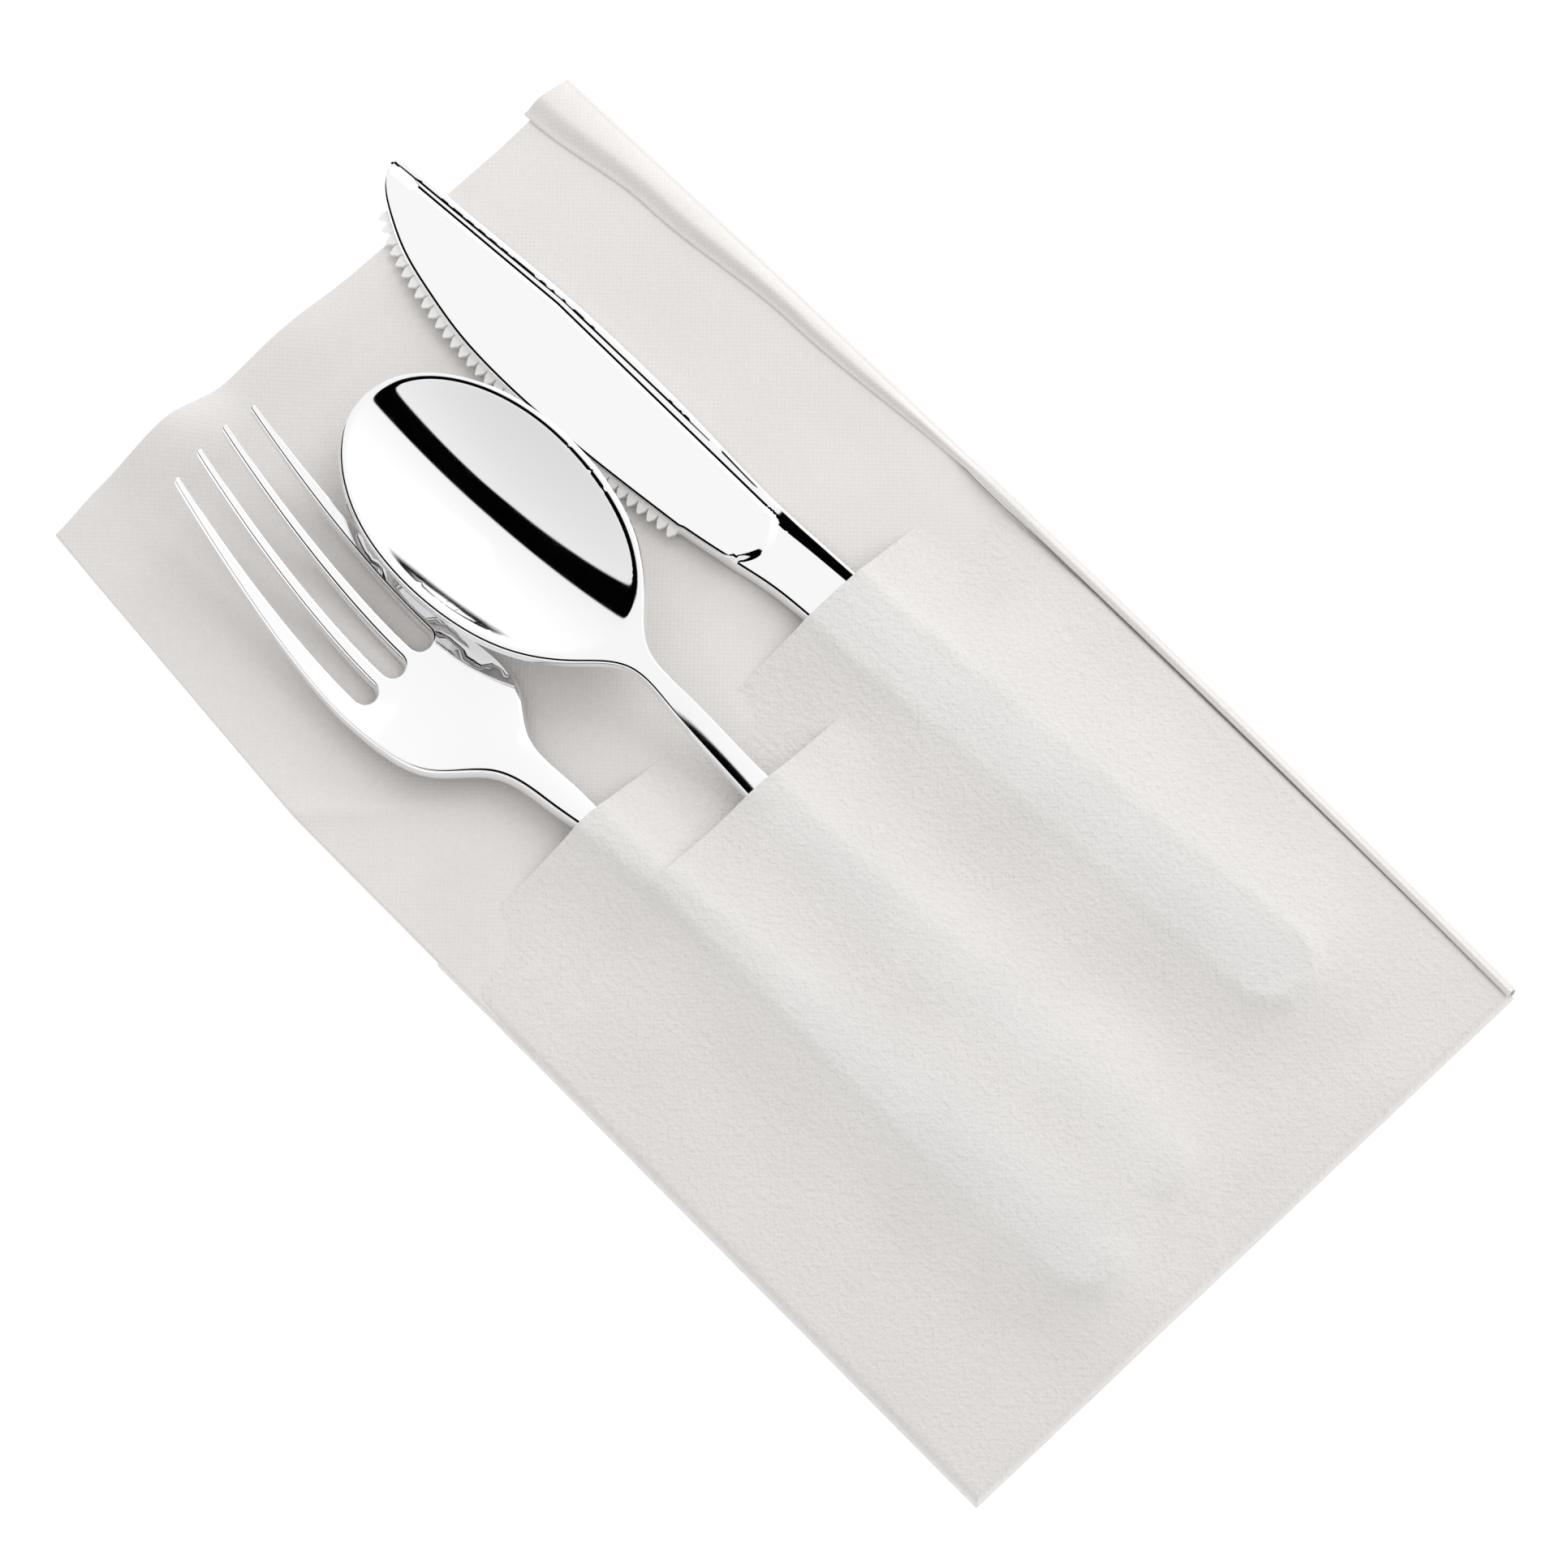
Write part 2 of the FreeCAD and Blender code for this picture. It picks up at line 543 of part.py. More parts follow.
def main():
    os.makedirs("parts", exist_ok=True)
    fork_piece = fork()
    spoon_piece = spoon()
    knife_piece = knife()
    nodes = {
        "rear_leaf": rear_leaf(),
        "front_leaf": front_leaf(),
        "right_turnover": right_turnover(),
        "bottom_fold": bottom_fold(),
        "left_fold": left_fold(),
        "pocket_inner_ply": pocket_inner_ply(fork_piece, knife_piece),
        "pocket_outer_ply": pocket_outer_ply(fork_piece, spoon_piece, knife_piece),
        "fork": fork_piece,
        "spoon": spoon_piece,
        "knife": knife_piece,
    }
    for name, shape in nodes.items():
        if not shape.isValid() or len(shape.Solids) != 1:
            raise ValueError(name + " isn't one valid solid")
        shape.Solids[0].exportStep("parts/" + name + ".step")
        box = shape.BoundBox
        low = (round(box.XMin, 2), round(box.YMin, 2), round(box.ZMin, 2))
        high = (round(box.XMax, 2), round(box.YMax, 2), round(box.ZMax, 2))
        print(name, round(shape.Volume, 1), low, high)


main()
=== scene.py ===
import json
import math

import bpy
import numpy as np
from mathutils import Matrix, Vector, geometry
from mathutils.bvhtree import BVHTree

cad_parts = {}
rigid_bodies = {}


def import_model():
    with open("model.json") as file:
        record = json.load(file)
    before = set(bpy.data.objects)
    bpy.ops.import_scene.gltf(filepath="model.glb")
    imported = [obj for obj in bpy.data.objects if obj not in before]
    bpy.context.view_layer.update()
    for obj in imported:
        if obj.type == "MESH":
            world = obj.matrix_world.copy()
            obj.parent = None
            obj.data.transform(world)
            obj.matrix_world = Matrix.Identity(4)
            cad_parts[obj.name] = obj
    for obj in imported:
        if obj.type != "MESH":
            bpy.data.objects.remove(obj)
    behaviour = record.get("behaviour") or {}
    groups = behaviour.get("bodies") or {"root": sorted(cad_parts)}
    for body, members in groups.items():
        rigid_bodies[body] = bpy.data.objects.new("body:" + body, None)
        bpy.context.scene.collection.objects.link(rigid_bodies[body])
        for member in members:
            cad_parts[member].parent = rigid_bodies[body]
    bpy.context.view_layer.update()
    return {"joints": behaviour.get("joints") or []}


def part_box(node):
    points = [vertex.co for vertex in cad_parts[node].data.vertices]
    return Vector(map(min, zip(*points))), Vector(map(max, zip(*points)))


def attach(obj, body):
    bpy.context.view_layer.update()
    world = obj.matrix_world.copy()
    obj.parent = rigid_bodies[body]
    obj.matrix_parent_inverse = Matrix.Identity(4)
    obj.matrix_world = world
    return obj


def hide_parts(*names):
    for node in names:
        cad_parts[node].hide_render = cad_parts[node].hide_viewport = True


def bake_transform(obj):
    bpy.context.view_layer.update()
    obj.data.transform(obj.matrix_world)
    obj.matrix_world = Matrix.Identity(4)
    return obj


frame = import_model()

bl_info = {
    "name": "Pocket napkin with cutlery",
    "version": (1, 0, 0),
    "blender": (4, 5, 0),
    "location": "View3D > Sidebar > Napkin",
    "description": "Builds a folded pocket napkin holding a silver fork, spoon and knife",
    "category": "Object",
}

# ---- read from the frame; shapes below are worked out in millimetres ----
MM = 0.001
FRONT = "napkin_front"
REAR = "napkin_rear"


def box_mm(node):
    """Lowest and highest corner of a CAD node in millimetres."""
    low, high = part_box(node)
    return np.array(low) / MM, np.array(high) / MM


LEAF_LOW, LEAF_HIGH = box_mm("front_leaf")
REAR_LOW, REAR_HIGH = box_mm("rear_leaf")
OUTER_LOW, OUTER_HIGH = box_mm("pocket_outer_ply")
LEFT, BOTTOM = REAR_LOW[0], REAR_LOW[1]
RIGHT, TOP = REAR_HIGH[0], REAR_HIGH[1]
LEAF_TOP = LEAF_HIGH[2]
INNER_MOUTH = box_mm("pocket_inner_ply")[1][1]
OUTER_MOUTH = OUTER_HIGH[1]


def length_prop(name, default, description):
    """Property for a length in metres."""
    return bpy.props.FloatProperty(name=name, description=description, default=default, unit="LENGTH")


def angle_prop(name, degrees, description):
    """Property for an angle."""
    return bpy.props.FloatProperty(
        name=name, description=description, default=math.radians(degrees), subtype="ANGLE"
    )


def colour_prop(name, default, description):
    """Property for a colour."""
    return bpy.props.FloatVectorProperty(
        name=name, description=description, default=default, subtype="COLOR", size=3
    )


def number_prop(name, default, description):
    """Property for a plain number."""
    return bpy.props.FloatProperty(name=name, description=description, default=default)


class PaperProps(bpy.types.PropertyGroup):
    """Sizes and colours of the folded paper."""

    ply: length_prop("Ply", 0.00036, "Thickness of one ply of the paper")
    grid: length_prop("Grid", 0.0009, "Spacing of the mesh on the leaves and pockets")
    wave_lift: length_prop("Wave lift", 0.0048, "How far the top edge of the front leaf lifts")
    margin_top: length_prop("Margin at the top", 0.0085, "Width of the turned-over margin at its top end")
    drape: length_prop("Drape", 0.0052, "How wide a ply's soft slope beside a handle is")
    clearance: length_prop("Clearance", 0.00022, "Air between a handle and the ply over it")
    colour: colour_prop("Paper", (0.80, 0.772, 0.748), "Warm white of the paper")
    # painted reflection: cooler white painted into the paper where a ply lies close over a handle
    painted_reflection_tint: colour_prop("Paper over metal", (0.80, 0.798, 0.790), "Cooler white over a close handle")


class CutleryProps(bpy.types.PropertyGroup):
    """Sizes and finish of the cutlery."""

    draft: length_prop("Drafted edge", 0.0010, "How far the sloping side of a piece reaches inwards")
    grid: length_prop("Grid", 0.0010, "Spacing of the mesh on the faces")
    spoon_lean: angle_prop("Spoon's lean", 0.5, "How far the spoon leans to the left")
    fork_roll: angle_prop("Fork's roll", 5.0, "How far the fork lies over to its right")
    bowl_flange: length_prop("Bowl's flange", 0.0016, "Width of the flat rim round the bowl")
    colour: colour_prop("Silver", (0.94, 0.94, 0.945), "Colour of the metallised finish")
    roughness: number_prop("Roughness", 0.045, "Roughness of the metallised finish")


class StudioProps(bpy.types.PropertyGroup):
    """Camera, floor and light."""

    distance: length_prop("Camera distance", 1.2, "From the napkin's middle to the camera")
    tilt: angle_prop("Camera tilt", 18.467, "From straight above")
    azimuth: angle_prop("Camera azimuth", -129.85, "Direction of the camera seen from above")
    roll: angle_prop("Camera roll", -4.068, "Turn about the line of sight")
    lens: number_prop("Lens", 180.34, "Focal length in millimetres")
    floor_size: length_prop("Floor", 3.0, "Side of the floor")
    sky: number_prop("Tent", 0.80, "Strength of the light tent")
    key: number_prop("Key", 2.4, "Power of the softbox in watts")


# ---------------------------------------------------------------- numbers and curves

def eased(stations, s):
    """Smooth value at s through (place, value) stations, level at each one."""
    s = np.asarray(s, float)
    value = np.full(s.shape, float(stations[0][1]))
    for (s0, v0), (s1, v1) in zip(stations, stations[1:]):
        share = np.clip((s - s0) / (s1 - s0), 0, 1)
        value = value + (v1 - v0) * share * share * (3 - 2 * share)
    return value


def ramp(x, start, end):
    """0 before start, 1 after end, smooth between them."""
    return eased([(start, 0.0), (end, 1.0)], x)


def run_lengths(points):
    """Distance along a line of points at each of them."""
    return np.concatenate([[0], np.cumsum(np.linalg.norm(np.diff(points, axis=0), axis=1))])


def through(points, step):
    """Points about step apart on a natural cubic spline through points."""
    p = np.array(points, float)
    t = run_lengths(p)
    h = np.diff(t)
    n = len(p)
    system = np.eye(n)
    right = np.zeros(p.shape)
    for i in range(1, n - 1):
        system[i, i - 1 : i + 2] = (h[i - 1], 2 * (h[i - 1] + h[i]), h[i])
        right[i] = 6 * ((p[i + 1] - p[i]) / h[i] - (p[i] - p[i - 1]) / h[i - 1])
    bend = np.linalg.solve(system, right)
    at = np.linspace(0, t[-1], math.ceil(t[-1] / step) + 1)
    i = np.clip(np.searchsorted(t, at, side="right") - 1, 0, n - 2)
    a = (t[i + 1] - at)[:, None]
    b = (at - t[i])[:, None]
    hi = h[i][:, None]
    curve = (bend[i] * a**3 + bend[i + 1] * b**3) / (6 * hi)
    return curve + (p[i] / hi - bend[i] * hi / 6) * a + (p[i + 1] / hi - bend[i + 1] * hi / 6) * b


def stations(start, end, step, edge=(0.12, 0.4, 0.8)):
    """Places from start to end about step apart, closer together at both ends."""
    count = max(2, round((end - start - 2 * edge[-1]) / step) + 1)
    inner = np.linspace(start + edge[-1], end - edge[-1], count)
    first = [start] + [start + e for e in edge[:-1]]
    last = [end - e for e in reversed(edge[:-1])] + [end]
    return np.concatenate([first, inner, last])


def ripple(x, y, seed, wavelength, count=7):
    """Seeded sum of long waves in all directions, about -1 to 1."""
    rng = np.random.default_rng(seed)
    total = np.zeros(np.broadcast(x, y).shape)
    for _ in range(count):
        angle = rng.uniform(0, 2 * math.pi)
        length = wavelength * rng.uniform(0.6, 1.6)
        phase = rng.uniform(0, 2 * math.pi)
        total = total + np.sin(2 * math.pi * (x * math.cos(angle) + y * math.sin(angle)) / length + phase)
    return total / math.sqrt(count)


# ---------------------------------------------------------------- meshes

def linked(name, data):
    """New object in the scene."""
    made = bpy.data.objects.new(name, data)
    bpy.context.scene.collection.objects.link(made)
    return made


def as_points(x, y, z):
    """One row for each place of three equal grids."""
    return np.stack([x, y, z], axis=-1).reshape(-1, 3)


def new_piece(name, points, faces, material, normals=None, sharp=None):
    """Object from points in millimetres and arrays of triangles or quads."""
    points = np.asarray(points, float)
    mesh = bpy.data.meshes.new(name)
    corners = np.concatenate([f.ravel() for f in faces])
    sizes = np.concatenate([np.full(len(f), f.shape[1]) for f in faces])
    mesh.vertices.add(len(points))
    mesh.vertices.foreach_set("co", (points * MM).astype(np.float32).ravel())
    mesh.loops.add(len(corners))
    mesh.loops.foreach_set("vertex_index", corners.astype(np.int32))
    mesh.polygons.add(len(sizes))
    mesh.polygons.foreach_set("loop_start", np.concatenate([[0], np.cumsum(sizes)[:-1]]).astype(np.int32))
    mesh.update(calc_edges=True)
    mesh.validate()
    mesh.polygons.foreach_set("use_smooth", np.ones(len(mesh.polygons), bool))
    if sharp is not None:
        mesh.set_sharp_from_angle(angle=math.radians(sharp))
    if normals is not None:
        mesh.normals_split_custom_set_from_vertices([tuple(n) for n in normals])
    mesh.materials.append(material)
    return linked(name, mesh)


def grid_faces(rows, columns, start=0):
    """Quads of a grid of points stored row by row."""
    i = np.arange(rows * columns).reshape(rows, columns) + start
    return np.stack([i[:-1, :-1], i[:-1, 1:], i[1:, 1:], i[1:, :-1]], axis=-1).reshape(-1, 4)


def border(rows, columns):
    """Indices round the edge of a grid, anticlockwise."""
    i = np.arange(rows * columns).reshape(rows, columns)
    return np.concatenate([i[0, :-1], i[:-1, -1], i[-1, :0:-1], i[:0:-1, 0]])


EDGE_ROUND = 0.35   # a ply's edge stands out by this share of its thickness


def ply_sheet(name, x, y, upper, lower, material):
    """Thin closed sheet between two height fields on one grid, with a softly rounded edge."""
    rows, columns = x.shape
    count = rows * columns
    top, under = as_points(x, y, upper), as_points(x, y, lower)
    edge = border(rows, columns)
    rim = (top[edge] + under[edge]) / 2
    along = np.roll(rim, -1, axis=0) - np.roll(rim, 1, axis=0)
    out = np.stack([along[:, 1], -along[:, 0], np.zeros(len(rim))], axis=1)
    out /= np.maximum(np.linalg.norm(out, axis=1, keepdims=True), 1e-9)
    rim = rim + out * (top[edge, 2] - under[edge, 2])[:, None] * EDGE_ROUND
    rim_index = np.arange(len(edge)) + 2 * count
    following = np.roll(np.arange(len(edge)), -1)
    band_top = np.stack([rim_index, rim_index[following], edge[following], edge], axis=1)
    band_under = np.stack([edge + count, (edge + count)[following], rim_index[following], rim_index], axis=1)
    faces = [grid_faces(rows, columns), grid_faces(rows, columns, count)[:, ::-1], band_top, band_under]
    return new_piece(name, np.concatenate([top, under, rim]), faces, material, sharp=70)


def serpentine(levels, left, right, places, fold_points=6):
    """Middle line of a strip folded back and forth: it starts at the right on the first level."""
    line = []
    for k, level in enumerate(levels):
        run = places[::-1] if k % 2 == 0 else places
        line += [(x, level) for x in run]
        if k + 1 < len(levels):
            middle = (level + levels[k + 1]) / 2
            radius = (level - levels[k + 1]) / 2
            side, centre = (-1, left) if k % 2 == 0 else (1, right)
            for i in range(1, fold_points):
                angle = math.pi * i / fold_points
                line.append((centre + side * radius * math.sin(angle), middle + radius * math.cos(angle)))
    return np.array(line)


def folded_strip(name, lines, places, thickness, material, warp=None):
    """Closed sheet whose middle line at each place along Y is one of lines, as (x, z) points."""
    lines = np.asarray(lines, float)
    tangent = np.gradient(lines, axis=1)
    tangent /= np.linalg.norm(tangent, axis=2, keepdims=True)
    normal = np.stack([-tangent[..., 1], tangent[..., 0]], axis=-1)
    outer = lines - normal * thickness / 2
    inner = lines + normal * thickness / 2
    start = lines[:, :1] - tangent[:, :1] * thickness * EDGE_ROUND
    end = lines[:, -1:] + tangent[:, -1:] * thickness * EDGE_ROUND
    ring = np.concatenate([start, outer, end, inner[:, ::-1]], axis=1)
    rows, columns = ring.shape[:2]
    y = np.repeat(np.asarray(places)[:, None], columns, axis=1)
    points = as_points(ring[..., 0], y, ring[..., 1])
    i = np.arange(rows * columns).reshape(rows, columns)
    j = np.roll(i, -1, axis=1)
    skin = np.stack([i[:-1], i[1:], j[1:], j[:-1]], axis=-1).reshape(-1, 4)
    count = lines.shape[1]
    faces = [skin]
    for row, flip in ((0, False), (rows - 1, True)):
        a = i[row, 1 : count + 1]
        b = i[row, count + 2 :][::-1]
        cap = np.stack([a[:-1], a[1:], b[1:], b[:-1]], axis=1)
        ends = np.array([[i[row, 0], a[0], b[0]], [i[row, count + 1], b[-1], a[-1]]])
        faces += [cap[:, ::-1], ends[:, ::-1]] if flip else [cap, ends]
    if warp is not None:
        points = warp(points)
    return new_piece(name, points, faces, material, sharp=60)


# ---------------------------------------------------------------- cutlery shapes

# the side of a piece, from its underside up: share of the draft, share of the thickness, slope of the normal
SIDE_PROFILE = (
    (0.30, 0.00, -90),
    (0.06, 0.05, -40),
    (0.00, 0.20, 8),
    (0.48, 0.80, 27),
    (0.58, 0.90, 42),
    (0.64, 0.96, 78),
    (0.97, 0.997, 84),
    (1.00, 1.00, 90),
)


def surface_normals(top, places):
    """Normals of the height function top(w, s)."""
    d = 0.02
    w, s = places[:, 0], places[:, 1]
    dw = (top(w + d, s) - top(w - d, s)) / (2 * d)
    ds = (top(w, s + d) - top(w, s - d)) / (2 * d)
    n = np.stack([-dw, -ds, np.ones(len(w))], axis=1)
    return n / np.linalg.norm(n, axis=1, keepdims=True)


def inside(points, loop):
    """Which points are inside the closed loop."""
    a, b = loop, np.roll(loop, -1, axis=0)
    x, y = points[:, 0][:, None], points[:, 1][:, None]
    crosses = (a[:, 1] > y) != (b[:, 1] > y)
    rise = np.where(b[:, 1] == a[:, 1], 1e-12, b[:, 1] - a[:, 1])
    return (crosses & (x < a[:, 0] + (y - a[:, 1]) * (b[:, 0] - a[:, 0]) / rise)).sum(axis=1) % 2 == 1


def fill(loop, step, extra=None):
    """Points inside the loop about step apart, and triangles over the loop's points and them."""
    low, high = loop.min(axis=0), loop.max(axis=0)
    w, s = np.meshgrid(np.arange(low[0], high[0], step), np.arange(low[1], high[1], step))
    grid = np.stack([w.ravel(), s.ravel()], axis=1)
    if extra is not None:
        gap = np.array([np.min(np.abs(extra - g).max(axis=1)) for g in grid])
        grid = np.concatenate([extra, grid[gap > 0.45 * step]])
    grid = grid[inside(grid, loop)]
    near = np.array([np.min(((loop - g) ** 2).sum(axis=1)) for g in grid])
    grid = grid[near > (0.5 * step) ** 2]
    places = np.concatenate([loop, grid])
    made = geometry.delaunay_2d_cdt([Vector(p) for p in places], [], [list(range(len(loop)))], 1, 1e-7)
    if any(len(ids) == 0 for ids in made[3]):
        raise ValueError("an outline crosses itself")
    source = [ids[0] for ids in made[3]]
    triangles = np.array([[source[i] for i in f] for f in made[2]], int)
    return grid, triangles


def moulded(loop, top, thickness, draft, step, extra=None):
    """Points, faces and normals of a moulded piece with drafted, rounded sides.

    loop is its outline as (w, s) points, anticlockwise, and top(w, s) the height of its face.
    """
    along = np.roll(loop, -1, axis=0) - np.roll(loop, 1, axis=0)
    out = np.stack([along[:, 1], -along[:, 0]], axis=1)
    out /= np.linalg.norm(out, axis=1, keepdims=True)
    reach = draft(loop[:, 1]) if callable(draft) else np.full(len(loop), draft)
    points, normals, faces = [], [], []
    count = len(loop)
    for inset, height, slope in SIDE_PROFILE:
        place = loop - out * (reach * inset)[:, None]
        z = top(place[:, 0], place[:, 1]) - thickness * (1 - height)
        points.append(np.column_stack([place, z]))
        up = surface_normals(top, place) if slope > 0 else np.tile([0.0, 0.0, 1.0], (count, 1))
        a = math.radians(slope)
        n = np.column_stack([out, np.zeros(count)]) * math.cos(a) + up * math.sin(a)
        normals.append(n)
    i = np.arange(count)
    j = np.roll(i, -1)
    for ring in range(len(SIDE_PROFILE) - 1):
        a, b = ring * count, (ring + 1) * count
        faces.append(np.stack([i + a, j + a, j + b, i + b], axis=1))
    made = sum(len(p) for p in points)
    for ring, drop, mesh_step in ((len(SIDE_PROFILE) - 1, 0.0, step), (0, thickness, step * 1.6)):
        edge = points[ring][:, :2]
        grid, triangles = fill(edge, mesh_step, extra if ring else None)
        z = top(grid[:, 0], grid[:, 1]) - drop
        n = surface_normals(top, grid)
        points.append(np.column_stack([grid, z]))
        normals.append(n if ring else -n)
        numbers = np.concatenate([np.arange(count) + ring * count, np.arange(len(grid)) + made])
        made += len(grid)
        whole = np.concatenate([edge, grid])
        a, b, c = (whole[triangles[:, k]] for k in range(3))
        area = (b[:, 0] - a[:, 0]) * (c[:, 1] - a[:, 1]) - (b[:, 1] - a[:, 1]) * (c[:, 0] - a[:, 0])
        upright = np.where((area > 0)[:, None], triangles, triangles[:, ::-1])
        faces.append(numbers[upright if ring else upright[:, ::-1]])
    return np.concatenate(points), faces, np.concatenate(normals)


def seated(points, normals, node, lean, roll=0.0):
    """Turns a piece drawn along +Y and sets it in the CAD node's box."""
    turn = np.array(Matrix.Rotation(lean, 3, "Z") @ Matrix.Rotation(roll, 3, "Y"))
    points = points @ turn.T
    low, high = box_mm(node)
    middle = (points.min(axis=0) + points.max(axis=0)) / 2
    shift = (low + high) / 2 - middle
    shift[2] = low[2] - points[:, 2].min()
    return points + shift, normals @ turn.T


def slide_lean(body):
    """Lean of a piece to the left, from the direction in which it slides out."""
    axis = next(j for j in frame["joints"] if j["child"] == body)["axis"]
    return math.atan2(-axis[0], axis[1])


# ---------------------------------------------------------------- fork

FORK_LENGTH = 190.5
FORK_THICKNESS = 2.0
SLOT_BOTTOM = 144.5
SLOT_HALF, SLOT_TIP_HALF = 1.75, 2.2
SLOT_PITCH, SLOT_TIP_PITCH = 6.15, 5.45
FORK_HALF = 6.4
FORK_CROWN = 1.1
FORK_ROOT_Y = 50.0   # the slots' round ends, on the napkin
TINE_RUN = FORK_LENGTH - SLOT_BOTTOM
TINE_SWING = 6.4     # the tines' ends lie this far to the right
TINE_RISE = 5.0      # and this far up
ROOT_SHIFT = 2.1     # their roots lie this far to the left


def fork_top(w, s):
    """Height of the fork's face above the plane of its underside at the handle's edge."""
    root = SLOT_BOTTOM - 2.0
    crest = eased([(SLOT_BOTTOM - 44.0, FORK_CROWN), (SLOT_BOTTOM - 24.0, 2.2), (root, 0.0)], s)
    rise = np.where(s > root, 3.6 * (np.maximum(s - root, 0) / (FORK_LENGTH - root)) ** 2, 0.0)
    crown = -FORK_CROWN / FORK_HALF**2
    bend = eased([(SLOT_BOTTOM - 44.0, crown), (SLOT_BOTTOM - 8.0, 0.004)], s)
    return FORK_THICKNESS + crest + rise + bend * w * w


def fork_side():
    """Half of the fork's outline, from the handle's end to the outer tine."""
    return [
        (0.0, 0.0),
        (FORK_HALF * 0.72, 1.6),
        (FORK_HALF, 9.0),
        (FORK_HALF * 0.72, 48.0),
        (2.45, SLOT_BOTTOM - 38.0),
        (2.95, SLOT_BOTTOM - 32.0),
        (4.35, SLOT_BOTTOM - 22.5),
        (10.2, SLOT_BOTTOM - 15.0),
        (11.9, SLOT_BOTTOM - 5.0),
        (10.15, SLOT_BOTTOM + 25.0),
        (8.85, FORK_LENGTH - 1.0),
    ]


def slot_edge(step, side, s):
    """Side of the slot at step slots from the middle, at places s."""
    share = (s - SLOT_BOTTOM - SLOT_HALF) / (FORK_LENGTH + 5.0 - SLOT_BOTTOM - SLOT_HALF)
    centre = step * (SLOT_PITCH + (SLOT_TIP_PITCH - SLOT_PITCH) * share)
    return centre + side * (SLOT_HALF + (SLOT_TIP_HALF - SLOT_HALF) * share)


def tine_tip(left, right, end):
    """Round end between the two sides of a tine, from right to left."""
    radius = (right - left) / 2
    middle = (right + left) / 2
    angles = np.radians(np.arange(0, 181, 15))
    return np.column_stack([middle + radius * np.cos(angles), end - radius + radius * np.sin(angles)])


def fork_loop():
    """Outline of the fork with its slots, anticlockwise from the handle's end."""
    side = through(fork_side(), 0.8)
    outer_tip = side[-1][0]
    side = side[side[:, 1] < FORK_LENGTH - 2.2]
    loop = [side]
    for step, sign in ((1, 1), (0, 1), (-1, 1), (None, 0)):
        right = outer_tip if step == 1 else slot_edge(step + 1 if step is not None else -1, -1, FORK_LENGTH)
        left = slot_edge(step, sign, FORK_LENGTH) if step is not None else -outer_tip
        end = FORK_LENGTH - ((left + right) / 2 / outer_tip) ** 2
        loop.append(tine_tip(left, right, end))
        if step is None:
            break
        down = np.linspace(FORK_LENGTH - 2.2, SLOT_BOTTOM + SLOT_HALF + 0.3, 58)
        loop.append(np.column_stack([slot_edge(step, 1, down), down]))
        angles = np.radians(np.arange(0, -181, -15))
        centre = step * SLOT_PITCH
        loop.append(np.column_stack([
            centre + SLOT_HALF * np.cos(angles), SLOT_BOTTOM + SLOT_HALF + SLOT_HALF * np.sin(angles)
        ]))
        up = down[::-1]
        loop.append(np.column_stack([slot_edge(step, -1, up), up]))
    loop.append(side[:0:-1] * (-1, 1))
    return np.concatenate(loop)


def fork_bent(points, normals):
    """The seated fork with its side profile: low and a little to the left at the root, tines curving up."""
    y = points[:, 1]
    share = np.clip((y - FORK_ROOT_Y) / TINE_RUN, 0, 1)
    bent = points.copy()
    bent[:, 0] += TINE_SWING * share**1.5 - ROOT_SHIFT * ramp(y, 6.0, FORK_ROOT_Y)
    bent[:, 2] += TINE_RISE * share**2
    turned = normals.copy()
    turned[:, 1] -= 2 * TINE_RISE * share / TINE_RUN * normals[:, 2]
    return bent, turned / np.linalg.norm(turned, axis=1, keepdims=True)


def fork_draft(s, draft):
    """The drafted side is narrower on the tines."""
    return np.interp(s, [SLOT_BOTTOM - 12, SLOT_BOTTOM + 2, FORK_LENGTH], [draft, 0.72, 0.30])


# ---------------------------------------------------------------- spoon

SPOON_LENGTH = 175.5
SPOON_THICKNESS = 1.5
SPOON_HALF = 6.5
BOWL_HALF = 17.5
BOWL_TIP_RUN = 26.8
BOWL_NECK_RUN = 30.5
BOWL_WIDEST = SPOON_LENGTH - BOWL_TIP_RUN
BOWL_DEPTH = 6.8
BOWL_RIM = 9.35


def spoon_side():
    """Half of the spoon's outline, from the handle's end to the tip."""
    side = [
        (0.0, 0.0),
        (SPOON_HALF * 0.72, 1.6),
        (SPOON_HALF, 9.0),
        (SPOON_HALF * 0.7, 45.0),
        (2.5, BOWL_WIDEST - 54.0),
        (2.1, BOWL_WIDEST - 42.0),
        (2.45, BOWL_WIDEST - 34.5),
        (BOWL_HALF * 0.44, BOWL_WIDEST - 28.0),
        (BOWL_HALF * 0.80, BOWL_WIDEST - 19.0),
        (BOWL_HALF * 0.965, BOWL_WIDEST - 9.0),
        (BOWL_HALF, BOWL_WIDEST),
    ]
    for degrees in (20, 40, 60, 76):
        a = math.radians(degrees)
        side.append((BOWL_HALF * math.cos(a), BOWL_WIDEST + BOWL_TIP_RUN * math.sin(a)))
    side.append((0.0, SPOON_LENGTH))
    return side


def spoon_loop():
    """Outline of the spoon, anticlockwise from the handle's end."""
    side = through(spoon_side(), 0.6)
    return np.concatenate([side[:-1], side[::-1][:-1] * (-1, 1)])


